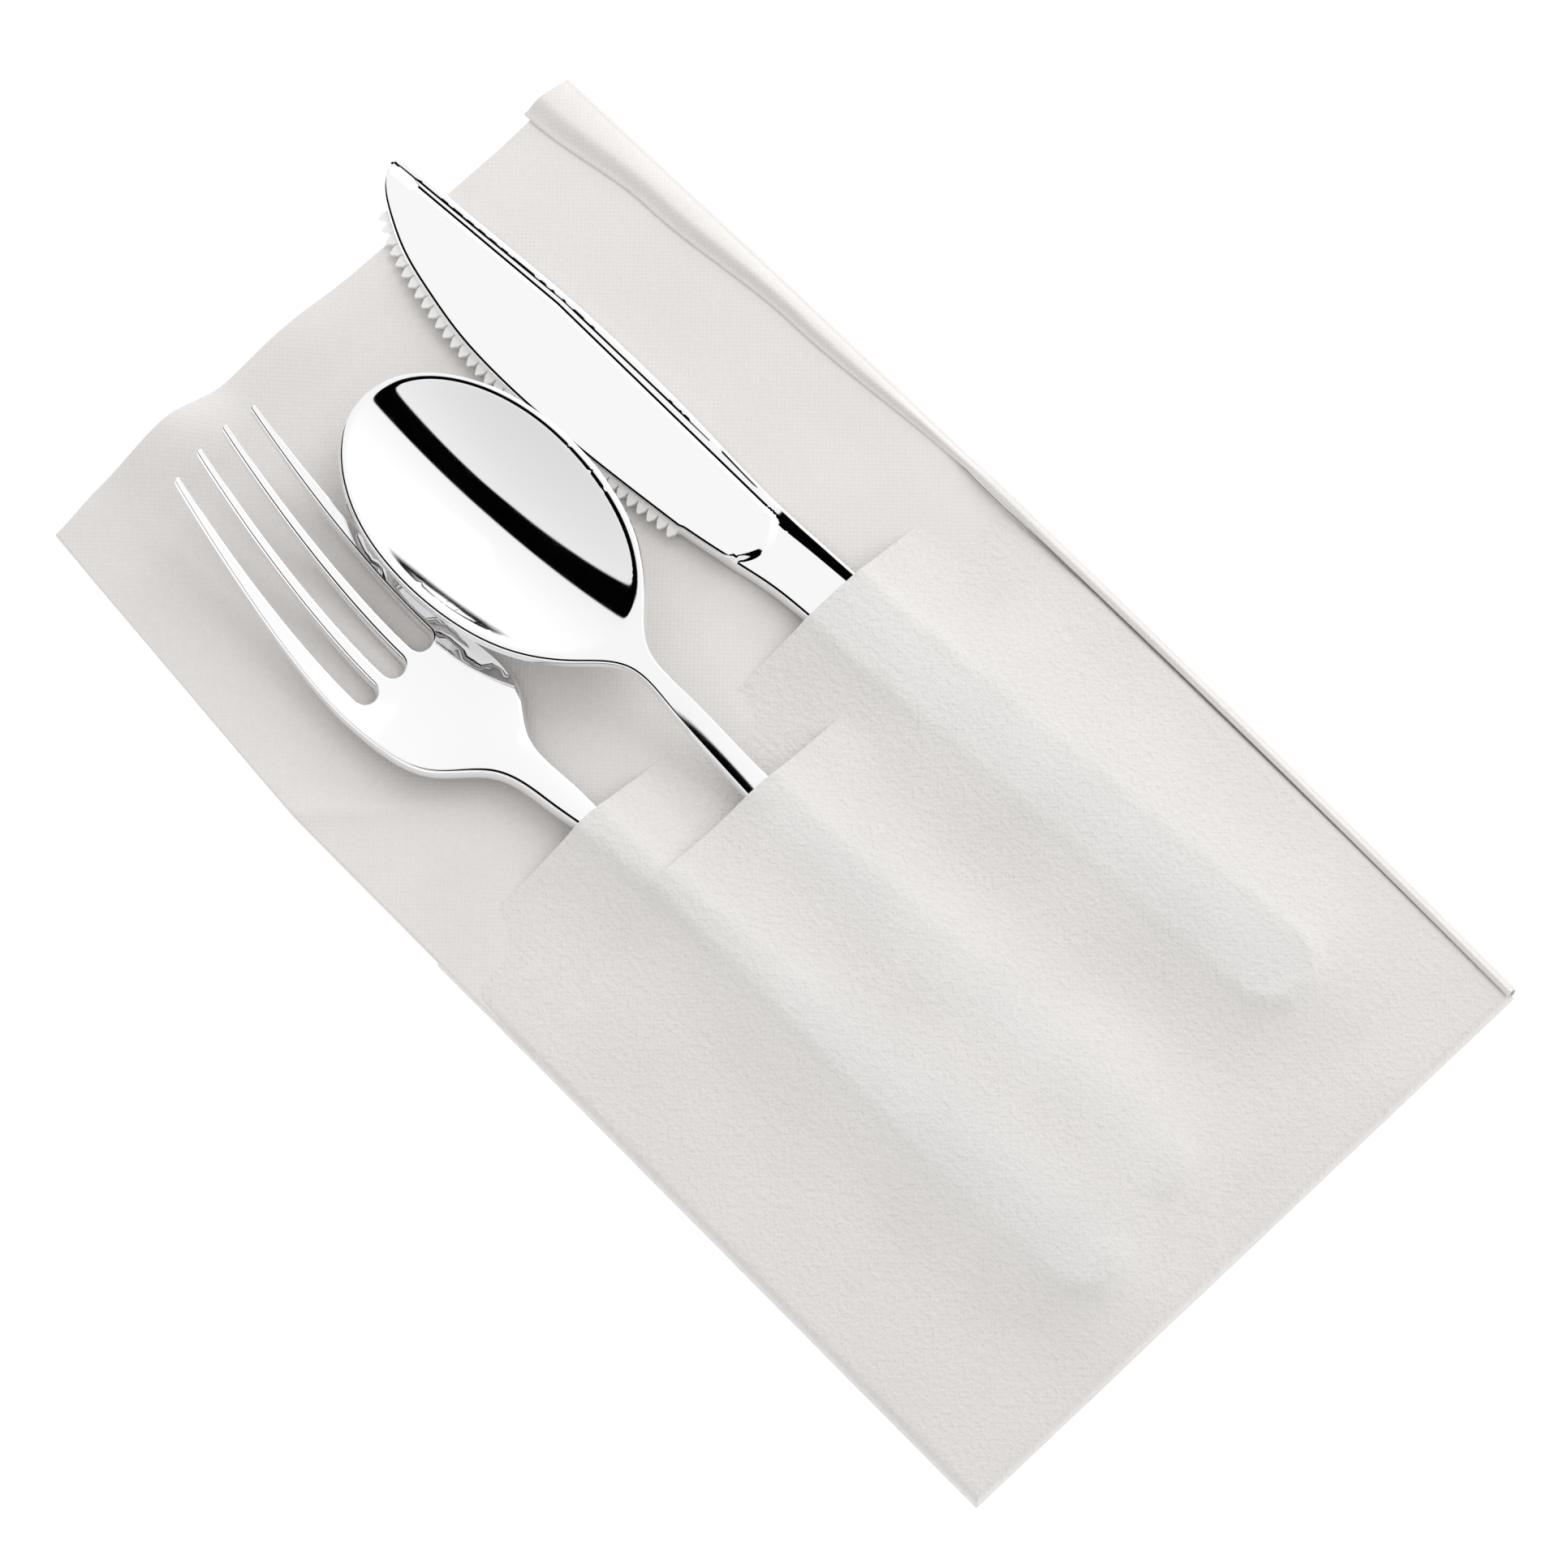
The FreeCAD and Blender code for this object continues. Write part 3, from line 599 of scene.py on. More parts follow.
def spoon_top(w, s, flange):
    """Height of the spoon's face: crowned handle, rising neck, and a bowl inside a flat flange."""
    crown = eased([(BOWL_WIDEST - 60.0, -1.0 / SPOON_HALF**2), (BOWL_WIDEST - 34.0, 0.0)], s)
    rise = eased([(BOWL_WIDEST - 66.0, SPOON_THICKNESS + 1.0), (BOWL_WIDEST - 30.0, BOWL_RIM)], s)
    ahead = np.maximum(s - BOWL_WIDEST, 0) / (BOWL_TIP_RUN - flange)
    behind = np.maximum(BOWL_WIDEST - s, 0) / (BOWL_NECK_RUN - flange)
    level = ahead**2 + behind**2 + (w / (BOWL_HALF - flange)) ** 2
    depth = BOWL_DEPTH * (1 - level)
    soft = 0.22
    sunk = 0.5 * (depth + np.sqrt(depth * depth + soft * soft))
    return rise + crown * w * w - sunk


def spoon_features(flange):
    """Rings along the bowl's rim, so that the mesh follows the turn from the flange to the bowl."""
    around = np.linspace(0, 2 * math.pi, 140, endpoint=False)
    found = []
    for grow in (-0.9, -0.5, -0.2, 0.02, 0.22):
        half = BOWL_HALF - flange + grow
        length = np.where(np.sin(around) > 0, BOWL_TIP_RUN, BOWL_NECK_RUN) - flange + grow
        found.append(np.column_stack([half * np.cos(around), BOWL_WIDEST + length * np.sin(around)]))
    return np.concatenate(found)


# ---------------------------------------------------------------- knife

KNIFE_LENGTH = 195.3
KNIFE_THICKNESS = 2.2
KNIFE_HALF = 6.1
BLADE_START = 120.0
TOOTH_PITCH = 2.0
# a tooth from its root to its point: reach, half its width, lowest and highest z
TOOTH_RINGS = ((-0.6, 0.9, 0.35, 1.5), (0.35, 0.8, 0.4, 1.25), (1.3, 0.18, 0.55, 0.9))


def knife_back():
    """Right-hand side of the knife, from the handle's end to the tip."""
    return [
        (0.0, 0.0),
        (KNIFE_HALF * 0.75, 1.6),
        (KNIFE_HALF, 9.0),
        (5.3, 93.0),
        (6.1, 112.0),
        (7.1, 122.0),
        (8.25, 132.0),
        (9.4, 147.0),
        (9.9, 160.0),
        (9.9, 185.0),
        (9.75, 192.5),
        (8.9, 194.9),
        (7.5, KNIFE_LENGTH),
    ]


def knife_belly():
    """Cutting edge from the tip to the first tooth."""
    return [
        (7.5, KNIFE_LENGTH),
        (4.6, 193.8),
        (0.15, 188.5),
        (-2.8, 183.0),
        (-5.3, 175.5),
        (-7.2, 168.0),
        (-8.6, 157.0),
        (-9.0, 147.0),
        (-8.75, 132.0),
        (-8.2, BLADE_START),
    ]


def knife_grip():
    """Left-hand side of the bolster and the handle, down to the handle's end."""
    return [
        (-7.9, BLADE_START - 0.9),
        (-7.2, 113.0),
        (-6.1, 105.0),
        (-5.8, 93.0),
        (-KNIFE_HALF, 9.0),
        (-KNIFE_HALF * 0.75, 1.6),
        (0.0, 0.0),
    ]


def groove(s):
    """Inner side and width of the groove along the blade's back."""
    inner = np.minimum(3.9 + 0.0716 * (s - 113.0), 7.2)
    width = np.interp(s, [110.0, 187.0], [1.35, 0.75])
    return inner, width


def face_start(w):
    """Round end of the raised blade face."""
    return 107.8 + 0.105 * (w + 1.2) ** 2


def knife_top(w, s):
    """Height of the knife's face: hollowed handle, raised blade face, and a groove by the back."""
    hollow = eased([(108.0, 0.145), (113.0, 0.0)], s) * np.maximum(w - 2.9, 0)
    inner, width = groove(s)
    face_end = face_start(w)
    face = ramp(s - face_end, -0.7, 0.9) * (1 - ramp(w - inner, -0.55, -0.05))
    first = np.clip(w - inner, 0.0, 0.45)
    second = np.clip(w - inner - width, 0.0, 0.4)
    back = 0.13 * (first + second) * ramp(s, 108.0, 112.0)
    bolster = -0.45 * ramp(s, 100.0, 108.5)
    return KNIFE_THICKNESS + hollow + bolster + 0.5 * face + back - 0.02 * w


def knife_features():
    """Places along the groove's sides and the blade face's round end, where the mesh is finer."""
    found = []
    s = np.arange(107.0, 189.0, 0.6)
    inner, width = groove(s)
    for offset in (-0.6, -0.3, -0.05, 0.06, 0.38, 0.5):
        found.append(np.column_stack([inner + offset, s]))
    for offset in (-0.06, 0.06, 0.34, 0.46):
        found.append(np.column_stack([inner + width + offset, s]))
    for w in (2.8, 3.0, 3.6, 4.2):
        found.append(np.column_stack([np.full(44, w), np.linspace(84.0, 113.0, 44)]))
    w = np.arange(-8.0, 5.5, 0.5)
    for offset in (-0.9, -0.45, 0.0, 0.45, 0.9, 1.4):
        found.append(np.column_stack([w, face_start(w) + offset]))
    return np.concatenate(found)


def knife_loop():
    """Outline of the knife without its teeth, anticlockwise from the handle's end."""
    back, belly, grip = (through(side(), 0.8) for side in (knife_back, knife_belly, knife_grip))
    return np.concatenate([back[:-1], belly, grip[:-1]])


def knife_teeth():
    """Blunt little wedges that stand out under the cutting edge, as points and quads."""
    edge = through(knife_belly(), 0.25)[::-1]
    along = run_lengths(edge)
    points, faces = [], []
    for at in np.arange(0.7, along[-1] - 9.0, TOOTH_PITCH):
        root = np.array([np.interp(at, along, edge[:, k]) for k in range(2)])
        ahead = np.array([np.interp(at + 0.5, along, edge[:, k]) for k in range(2)]) - root
        ahead /= np.linalg.norm(ahead)
        out = np.array([-ahead[1], ahead[0]])
        first = len(points)
        for reach, half, low, high in TOOTH_RINGS:
            for sign, z in ((-1, low), (1, low), (1, high), (-1, high)):
                place = root + out * reach + ahead * sign * half
                points.append((place[0], place[1], z))
        for ring in (first, first + 4):
            for k in range(4):
                faces.append((ring + k, ring + (k + 1) % 4, ring + 4 + (k + 1) % 4, ring + 4 + k))
        faces.append((first + 3, first + 2, first + 1, first))
        faces.append((first + 8, first + 9, first + 10, first + 11))
    return np.array(points), np.array(faces)


# ---------------------------------------------------------------- the folded paper

INSET_TOP = 4.5      # the top left corner stands in by this much
KINK_Y = 45.0        # and the left edge starts to slant here
RIGHT_BULGE = 1.1    # the fold line bows out by this much
LEAF_BULGE = 0.3     # and the leaf in it by less, clear of the hinge line
LEVEL_GAP = 0.4      # from ply to ply
DRAPE_GAIN = 1.16    # a soft ply bridges a handle this much higher than its smoothed shape
SIDE_LAP = 0.2       # the pocket's plies stand out this far past the leaves' left side
FOOT_LAP = 0.5       # and past their foot
FOLD_IN = 0.35       # a leaf's folds stand in from the fold line by this much
SOFT_CAP = 0.12      # soft unevenness of a pocket's ply stays below this
FAR = 99.0           # above or below everything
# share of the wave along the top edge, and how far that edge stands out
WAVE = ((-54, 0.15), (-44, 0.3), (-28, 1.0), (-16, 0.3), (-4, 0.42), (10, 0.22), (30, 0.05), (46, 0.02))
TOP_LINE = ((-52, 0.2), (-42, 0.9), (-28, 1.3), (-17, 0.1), (-5, 0.4), (12, -0.2), (40, -0.6), (50, -0.2))


def slanted(points, bulge=RIGHT_BULGE):
    """The paper's outline: top left corner standing in, fold line slightly bowed."""
    points = np.array(points, float)
    share = (points[:, 0] - LEFT) / (RIGHT - LEFT)
    slant = np.clip((points[:, 1] - KINK_Y) / (TOP - KINK_Y), 0, 1) * INSET_TOP
    bow = bulge * (1 - (points[:, 1] / TOP) ** 2)
    points[:, 0] += slant * (1 - share) + bow * np.clip(share, 0, 1) ** 3
    return points


def leaf_lift(x, y, paper):
    """How far the front leaf's upper ply rises: wave at the top, crease from the kink, unevenness."""
    wave = paper.wave_lift / MM * eased(WAVE, x) * ramp(y, TOP - 12.0, TOP)
    start, way = np.array([-56.0, KINK_Y]), np.array([18.0, 29.0 - KINK_Y])
    length = np.linalg.norm(way)
    way = way / length
    along = (x - start[0]) * way[0] + (y - start[1]) * way[1]
    across = -(x - start[0]) * way[1] + (y - start[1]) * way[0]
    fading = ramp(along, -4.0, 2.0) * (1 - ramp(along, 0.45 * length, length))
    crease = 0.55 * np.exp(-((across / 1.3) ** 2)) * fading
    shoulder = -0.35 * ramp(across, 0.0, 9.0) * (1 - ramp(x, -52.0, -40.0))
    soft = 0.10 * ripple(x, y, 11, 46.0) * ramp(np.minimum(x - LEFT, RIGHT - x), 1.0, 12.0)
    return wave + crease + shoulder + np.minimum(soft, 0.06)


def top_line(x):
    """How far the front leaf's top edge stands out past the straight line."""
    return eased(TOP_LINE, x)


def folded_leaf(name, top, plies, left, places, rows, paper, material, warp):
    """Leaf of so many plies, folded back and forth from its top down."""
    levels = [top - LEVEL_GAP * (k + 0.5) for k in range(plies)]
    line = serpentine(levels, left, RIGHT - FOLD_IN, places)
    lines = np.repeat(line[None], len(rows), axis=0)
    return folded_strip(name, lines, rows, paper.ply / MM, material, warp)


def rear_leaf_fold(paper, material):
    """Rear leaf of four plies, lying flat."""
    left = LEFT + 0.45
    rows = stations(BOTTOM + 0.2, TOP - 0.3, 2.2, edge=(0.1, 0.5, 1.2))

    def warp(points):
        points = slanted(points, 0.0)
        high = np.abs(points[:, 1]) > TOP - 2
        points[:, 1] += np.where(high, 0.12 * np.sin(points[:, 0] * 0.13 + points[:, 2] * 4.0), 0)
        return points

    places = stations(left, RIGHT - FOLD_IN, 2.2)
    return folded_leaf("rear_leaf_fold", REAR_HIGH[2], 4, left, places, rows, paper, material, warp)


def front_leaf_fold(paper, material):
    """Front leaf of two plies, with its lifted top edge."""
    left = LEFT + 0.2
    step = paper.grid / MM * 1.4
    rows = stations(BOTTOM + 0.3, TOP - 0.2, step)

    def warp(points):
        points = slanted(points, LEAF_BULGE)
        x, y, z = points.T
        share = np.clip((z - LEAF_LOW[2]) / (LEAF_TOP - LEAF_LOW[2]), 0, 1)
        rise = leaf_lift(x, y, paper)
        points[:, 2] = z + np.where(rise > 0, rise * (0.25 + 0.75 * share), rise * share)
        points[:, 1] = y + top_line(x) * ramp(y, TOP - 9.0, TOP) * (0.3 + 0.7 * share)
        return points

    places = stations(left, RIGHT - FOLD_IN, step)
    return folded_leaf("front_leaf_fold", LEAF_TOP, 2, left, places, rows, paper, material, warp)


def margin_width(y, paper):
    """Width of the turned-over margin along the fold line."""
    return eased([(-60.0, 0.7), (12.0, 1.0), (50.0, 3.2), (80.0, 5.6), (TOP, paper.margin_top / MM)], y)


def margin_section(y, width, bottom_level):
    """Section of the margin at y, as (x, z) points: lip, nose, soft back, and down round the fold line."""
    lip = float(eased([(8.0, 0.25), (30.0, 0.45), (70.0, 0.7), (TOP, 0.85)], y))
    lying = LEAF_TOP - 0.12
    base = float(eased([(8.0, OUTER_LOW[2] + 0.55), (20.0, lying), (96.0, lying), (TOP, LEAF_TOP + 0.05)], y))
    start = RIGHT - width
    line = [(start + 1.6 * lip + t * 0.9 * lip, base) for t in (0.9, 0.6, 0.3, 0.0)]
    nose = 0.16
    for degrees in range(270, 109, -20):
        a = math.radians(degrees)
        line.append((start + nose + nose * math.cos(a), base + nose + nose * math.sin(a)))
    crest = base + 2 * lip
    back = lip - nose + 0.32 * width
    climb = crest - base - 2 * nose
    for t in (0.12, 0.25, 0.4, 0.55, 0.7, 0.85):
        rise = 3 * t * t - 2 * t**3
        line.append((start + nose + back * t, base + 2 * nose + climb * rise))
    edge = RIGHT + 0.2
    shoulder = base + 0.15
    top = start + lip + 0.32 * width
    reach = edge - top
    for t in np.linspace(0.0, 1.0, 12):
        line.append((top + reach * t, crest + (shoulder - crest) * (0.35 * t + 0.65 * t * t)))
    radius = (shoulder - bottom_level) / 2
    centre = (shoulder + bottom_level) / 2
    for degrees in range(75, -91, -15):
        a = math.radians(degrees)
        line.append((edge + 1.0 * math.cos(a), centre + radius * math.sin(a)))
    line.append((edge - 0.4, bottom_level))
    return line


def spine_margin(paper, material):
    """The turned-over right margin and the fold line, one strip from its lip to the rear leaf."""
    ply = paper.ply / MM
    rows = stations(BOTTOM + 0.1, TOP + 0.5, 1.3)
    lines = [margin_section(y, float(margin_width(y, paper)), REAR_LOW[2] + ply / 2) for y in rows]

    def warp(points):
        points = slanted(points)
        x, y = points[:, 0], points[:, 1]
        points[:, 1] = y + 0.3 * ramp(y, TOP - 6, TOP) * (1 - ramp(x, RIGHT - 8, RIGHT))
        return points

    lengths = np.linalg.norm(np.diff(np.array(lines), axis=1), axis=2).sum(axis=1)
    return folded_strip("spine_margin", lines, rows, ply, material, warp), float(lengths.mean())


RAY_TOP, RAY_FOOT = 0.06, -0.02   # metres, well above and below the cutlery


def heights(piece, x, y, down=True):
    """Height of a piece's top or underside at each place, not a number where it is absent."""
    mesh = piece.data
    tree = BVHTree.FromPolygons([v.co for v in mesh.vertices], [p.vertices for p in mesh.polygons])
    start, way = (RAY_TOP, Vector((0, 0, -1))) if down else (RAY_FOOT, Vector((0, 0, 1)))
    found = np.full(x.shape, np.nan)
    for index in np.ndindex(x.shape):
        hit = tree.ray_cast(Vector((x[index] * MM, y[index] * MM, start)), way)[0]
        if hit is not None:
            found[index] = hit.z / MM
    return found


def neighbours(padded):
    """The four neighbours of each cell of a height field with a border of one cell round it."""
    return padded[:-2, 1:-1], padded[2:, 1:-1], padded[1:-1, :-2], padded[1:-1, 2:]


def grown(height, cells):
    """The height field widened sideways, so that paper stays clear of a piece's sides."""
    wide = np.where(np.isnan(height), -FAR, height)
    for _ in range(cells):
        padded = np.pad(wide, 1, mode="edge")
        wide = np.maximum.reduce([wide, *neighbours(padded)])
    return wide


def smoothed(z, rounds):
    """The height field after so many rounds of averaging with its neighbours."""
    for _ in range(rounds):
        p = np.pad(z, 1, mode="edge")
        z = 0.5 * z + 0.125 * sum(neighbours(p))
    return z


def draped(low, wide, high, slack):
    """A soft sheet that rests on low and stays under high.

    wide is low grown sideways, and slack rounds of smoothing soften it.
    """
    floor_level = wide.min()
    soft = floor_level + DRAPE_GAIN * (smoothed(wide, slack) - floor_level)
    z = np.minimum(np.maximum(soft, low), high)
    for _ in range(12):
        z = np.minimum(np.maximum(smoothed(z, 1), low - 0.03), high)
    return z


def rounded_away(x, y, radius):
    """How far a pocket's ply drops at the left and bottom folds."""
    drop = np.zeros(x.shape)
    for near in (x - (LEFT - SIDE_LAP), y - (BOTTOM - FOOT_LAP), RIGHT - x):
        d = np.clip(near, 0, radius)
        drop = np.maximum(drop, radius - np.sqrt(np.maximum(radius**2 - (radius - d) ** 2, 0)))
    return drop


def bowed(x, y):
    """The pocket's right edge follows the bowed fold line; over the handles it is left as it is."""
    share = np.clip((x - LEFT) / (RIGHT - LEFT), 0, 1)
    return x + LEAF_BULGE * (1 - (y / TOP) ** 2) * share**12


def raised(pieces, cells, lift, floor_level):
    """Height of a ply that lies lift above the tops of pieces, each widened by so many cells."""
    return np.maximum(np.maximum.reduce([grown(piece, cells) for piece in pieces]) + lift, floor_level)


def tucked(x, y):
    """Where the inner ply lies low above the outer mouth, beside the handles."""
    between = ramp(x, -17.5, -13.5) * (1 - ramp(x, 2.0, 14.0))
    far_left = 1 - ramp(x, -50.0, -34.0)
    beside = np.maximum(np.maximum(between, far_left), ramp(x, 38.0, 46.0))
    return beside * ramp(y, OUTER_MOUTH - 6.0, INNER_MOUTH)


def lying(x, y):
    """Where the outer ply's mouth lies on the inner ply, beside the spoon."""
    beside = np.maximum(1 - ramp(x, -30.0, -20.0), ramp(x, 8.0, 16.0))
    return beside * ramp(y, OUTER_MOUTH - 14.0, OUTER_MOUTH - 1.0)


def pocket_plies(paper, material, fork, spoon, knife):
    """The two plies of the pockets, draped over the handles."""
    ply, grid = paper.ply / MM, paper.grid / MM
    lift = paper.clearance / MM + ply
    edge = (0.12, 0.35, 0.8, 1.4)
    ys = stations(BOTTOM - FOOT_LAP, INNER_MOUTH, grid, edge)
    x, y = np.meshgrid(stations(LEFT - SIDE_LAP, RIGHT, grid, edge), ys)
    slack = int(4 * (paper.drape / paper.grid) ** 2)
    tops = [heights(piece, x, y) for piece in (fork, knife)]
    under_spoon = heights(spoon, x, y, down=False)
    handles = raised(tops, 1, lift, -FAR)
    flat = np.full(x.shape, LEAF_TOP + ply + 0.04)
    ceiling = np.maximum(np.where(np.isnan(under_spoon), FAR, under_spoon - 0.12), flat)
    inner = draped(np.maximum(handles, flat), raised(tops, 4, lift, flat), ceiling, slack)
    soft = 0.16 * (ripple(x, y, 5, 34.0) + 0.6) * ramp(np.minimum(x - LEFT, RIGHT - x), 2.0, 16.0)
    soft *= ramp(y - BOTTOM, 2.0, 14.0)
    quiet = 1 - ramp(y, OUTER_MOUTH - 8.0, OUTER_MOUTH + 2.0)
    swell = np.minimum(soft, SOFT_CAP) * quiet * 0.5
    drop = rounded_away(x, y, 1.3)
    inner_top = inner + swell - tucked(x, y) * (ply + 0.22) - drop
    inner_piece = ply_sheet("pocket_inner_cloth", bowed(x, y), y, inner_top, inner_top - ply, material)
    rows = np.searchsorted(ys, OUTER_MOUTH + 0.01)
    x2, y2 = x[:rows], y[:rows].copy()
    spoon_top_height = [heights(spoon, x2, y2)]
    y2[-1] = OUTER_MOUTH
    y2[-2] = OUTER_MOUTH - 0.2
    below = inner[:rows] + swell[:rows] + ply + 0.05
    spoon_part = raised(spoon_top_height, 1, lift, -FAR)
    wide = raised(spoon_top_height, 4, lift, below)
    outer = draped(np.maximum(spoon_part, below), wide, np.full(x2.shape, FAR), slack)
    outer += np.maximum(soft[:rows], 0)
    fade = lying(x2, y2)
    outer = outer * (1 - fade) + (inner_top[:rows] - 0.06 + drop[:rows]) * fade
    outer_top = outer - drop[:rows] * 1.15
    outer_piece = ply_sheet("pocket_outer_cloth", bowed(x2, y2), y2, outer_top, outer_top - ply, material)
    # how close a ply lies over a handle is stored for the painted reflection, a cooler tint in the paper
    # there
    close = closeness(inner, handles)
    store_painted_reflection(inner_piece, close)
    store_painted_reflection(outer_piece, np.maximum(close[:rows], closeness(outer, spoon_part)))
    return inner_piece, outer_piece


def closeness(sheet, handle):
    """1 where a ply touches the handle below it, 0 from 1.2 mm above it."""
    return np.clip(1 - (sheet - handle) / 1.2, 0, 1)


def store_painted_reflection(piece, close):
    """Stores on the mesh how closely a ply lies on a handle: 1 touching, 0 clear; the paper material paints a
    cooler tint there, a painted reflection of the metal through the paper.
    """
    close = 0.55 * smoothed(close, 70)
    values = np.zeros(len(piece.data.vertices), np.float32)
    values[: close.size] = close.ravel()
    attribute = piece.data.attributes.new("painted_handle_reflection", "FLOAT", "POINT")
    attribute.data.foreach_set("value", values)


# ---------------------------------------------------------------- materials

def feed(tree, made, inputs):
    """Links or sets a node's sockets, given by name or number."""
    for key, value in inputs.items():
        if isinstance(value, bpy.types.NodeSocket):
            tree.links.new(value, made.inputs[key])
        else:
            made.inputs[key].default_value = value


def node(tree, kind, inputs=None, **settings):
    """New shader node with its settings and sockets."""
    made = tree.nodes.new(kind)
    for name, value in settings.items():
        setattr(made, name, value)
    feed(tree, made, inputs or {})
    return made


def math_node(tree, operation, *values):
    """Result of a math node fed with the values."""
    return node(tree, "ShaderNodeMath", dict(enumerate(values)), operation=operation).outputs[0]


def material_base(name):
    """New material with its tree, its shader and the place on the piece."""
    material = bpy.data.materials.new(name)
    material.use_nodes = True
    tree = material.node_tree
    shader = next(n for n in tree.nodes if n.type == "BSDF_PRINCIPLED")
    return material, tree, shader, node(tree, "ShaderNodeTexCoord").outputs["Object"]


def noise(tree, place, scale, detail=3.0, roughness=0.5, output="Fac"):
    """Noise at the place."""
    sockets = {"Vector": place, "Scale": scale, "Detail": detail, "Roughness": roughness}
    return node(tree, "ShaderNodeTexNoise", sockets).outputs[output]


def bump(tree, height, distance, strength, normal=None):
    """Normal bumped by the height, on top of another one if given."""
    sockets = {"Strength": strength, "Distance": distance, "Height": height}
    if normal is not None:
        sockets["Normal"] = normal
    return node(tree, "ShaderNodeBump", sockets).outputs["Normal"]


def ranged(tree, value, source, target):
    """The value carried from one range to another."""
    sockets = zip(("Value", "From Min", "From Max", "To Min", "To Max"), (value, *source, *target))
    return node(tree, "ShaderNodeMapRange", dict(sockets)).outputs[0]


def linen_dots(tree, place, pitch):
    """Fine embossed rows of dots, as on linen-feel paper."""
    blur = noise(tree, place, 420.0, 1.0, output="Color")
    spread = (0.00022, 0.00022, 0.0)
    wobble = node(tree, "ShaderNodeVectorMath", {0: blur, 1: spread, 2: place}, operation="MULTIPLY_ADD")
    parts = node(tree, "ShaderNodeSeparateXYZ", {0: wobble.outputs[0]}).outputs
    turns = 2 * math.pi / pitch
    waves = [math_node(tree, "SINE", math_node(tree, "MULTIPLY", parts[axis], turns)) for axis in "XY"]
    return math_node(tree, "MULTIPLY", *waves)


def paper_material(name, paper, felt):
    """Warm white linen-feel paper, with a cooler tint painted where it lies close over a handle as a painted
    reflection of the metal through the paper; felt is how woolly the surface is.
    """
    material, tree, shader, place = material_base(name)
    fibres = noise(tree, place, 5200.0, 4.0, 0.6)
    clouds = noise(tree, place, 55.0, 3.0, 0.5)
    grain = noise(tree, place, 1150.0, 3.0, 0.62)
    tone = ranged(tree, clouds, (0.3, 0.7), (0.975, 1.015))
    speck = ranged(tree, grain, (0.25, 0.75), (0.965, 1.02))
    both = math_node(tree, "MULTIPLY", tone, speck)
    # painted reflection: a cooler white is mixed in where the ply lies close over a handle
    reflection_mask = node(tree, "ShaderNodeAttribute", attribute_name="painted_handle_reflection").outputs["Fac"]
    colours = {0: reflection_mask, 6: (*paper.colour, 1), 7: (*paper.painted_reflection_tint, 1)}
    paper_with_painted_reflection = node(tree, "ShaderNodeMix", colours, data_type="RGBA").outputs[2]
    toned = node(tree, "ShaderNodeVectorMath", {0: paper_with_painted_reflection, "Scale": both}, operation="SCALE").outputs[0]
    dots = linen_dots(tree, place, 0.00092)
    normal = bump(tree, dots, 0.000024 * (1.0 - 0.45 * felt), 0.75)
    normal = bump(tree, grain, 0.00012 + 0.00042 * felt, 0.30 + 0.30 * felt, normal)
    normal = bump(tree, fibres, 0.00005, 0.35, normal)
    feed(tree, shader, {
        "Base Color": toned,
        "Normal": normal,
        "Roughness": 0.93,
        "Specular IOR Level": 0.18,
        "Sheen Weight": 0.12,
        "Sheen Roughness": 0.6,
    })
    return material


def silver_material(cutlery):
    """Bright metallised plastic with a very faint moulded waviness."""
    material, tree, shader, place = material_base("silver_finish")
    haze = noise(tree, place, 260.0, 3.0, 0.55)
    flow = noise(tree, place, 85.0, 1.0, 0.4)
    limits = (cutlery.roughness * 0.8, cutlery.roughness * 1.35)
    feed(tree, shader, {
        "Metallic": 1.0,
        "Base Color": (*cutlery.colour, 1),
        "Roughness": ranged(tree, haze, (0.3, 0.75), limits),
        "Normal": bump(tree, flow, 0.00003, 0.20),
    })
    return material


def tooth_reflection_paint(cutlery):
    """Matte near-white for the teeth, a painted reflection standing in for the bright glint on their
    metallised edges.
    """
    material, tree, shader, place = material_base("tooth_painted_reflection")
    haze = noise(tree, place, 2600.0, 2.0, 0.5)
    limits = (cutlery.roughness * 4, cutlery.roughness * 8)
    feed(tree, shader, {
        # not metallic: the near-white base colour is a painted reflection
        "Metallic": 0.0,
        "Base Color": (0.97, 0.97, 0.96, 1),
        "Roughness": ranged(tree, haze, (0.0, 1.0), limits),
    })
    return material


# ---------------------------------------------------------------- operators

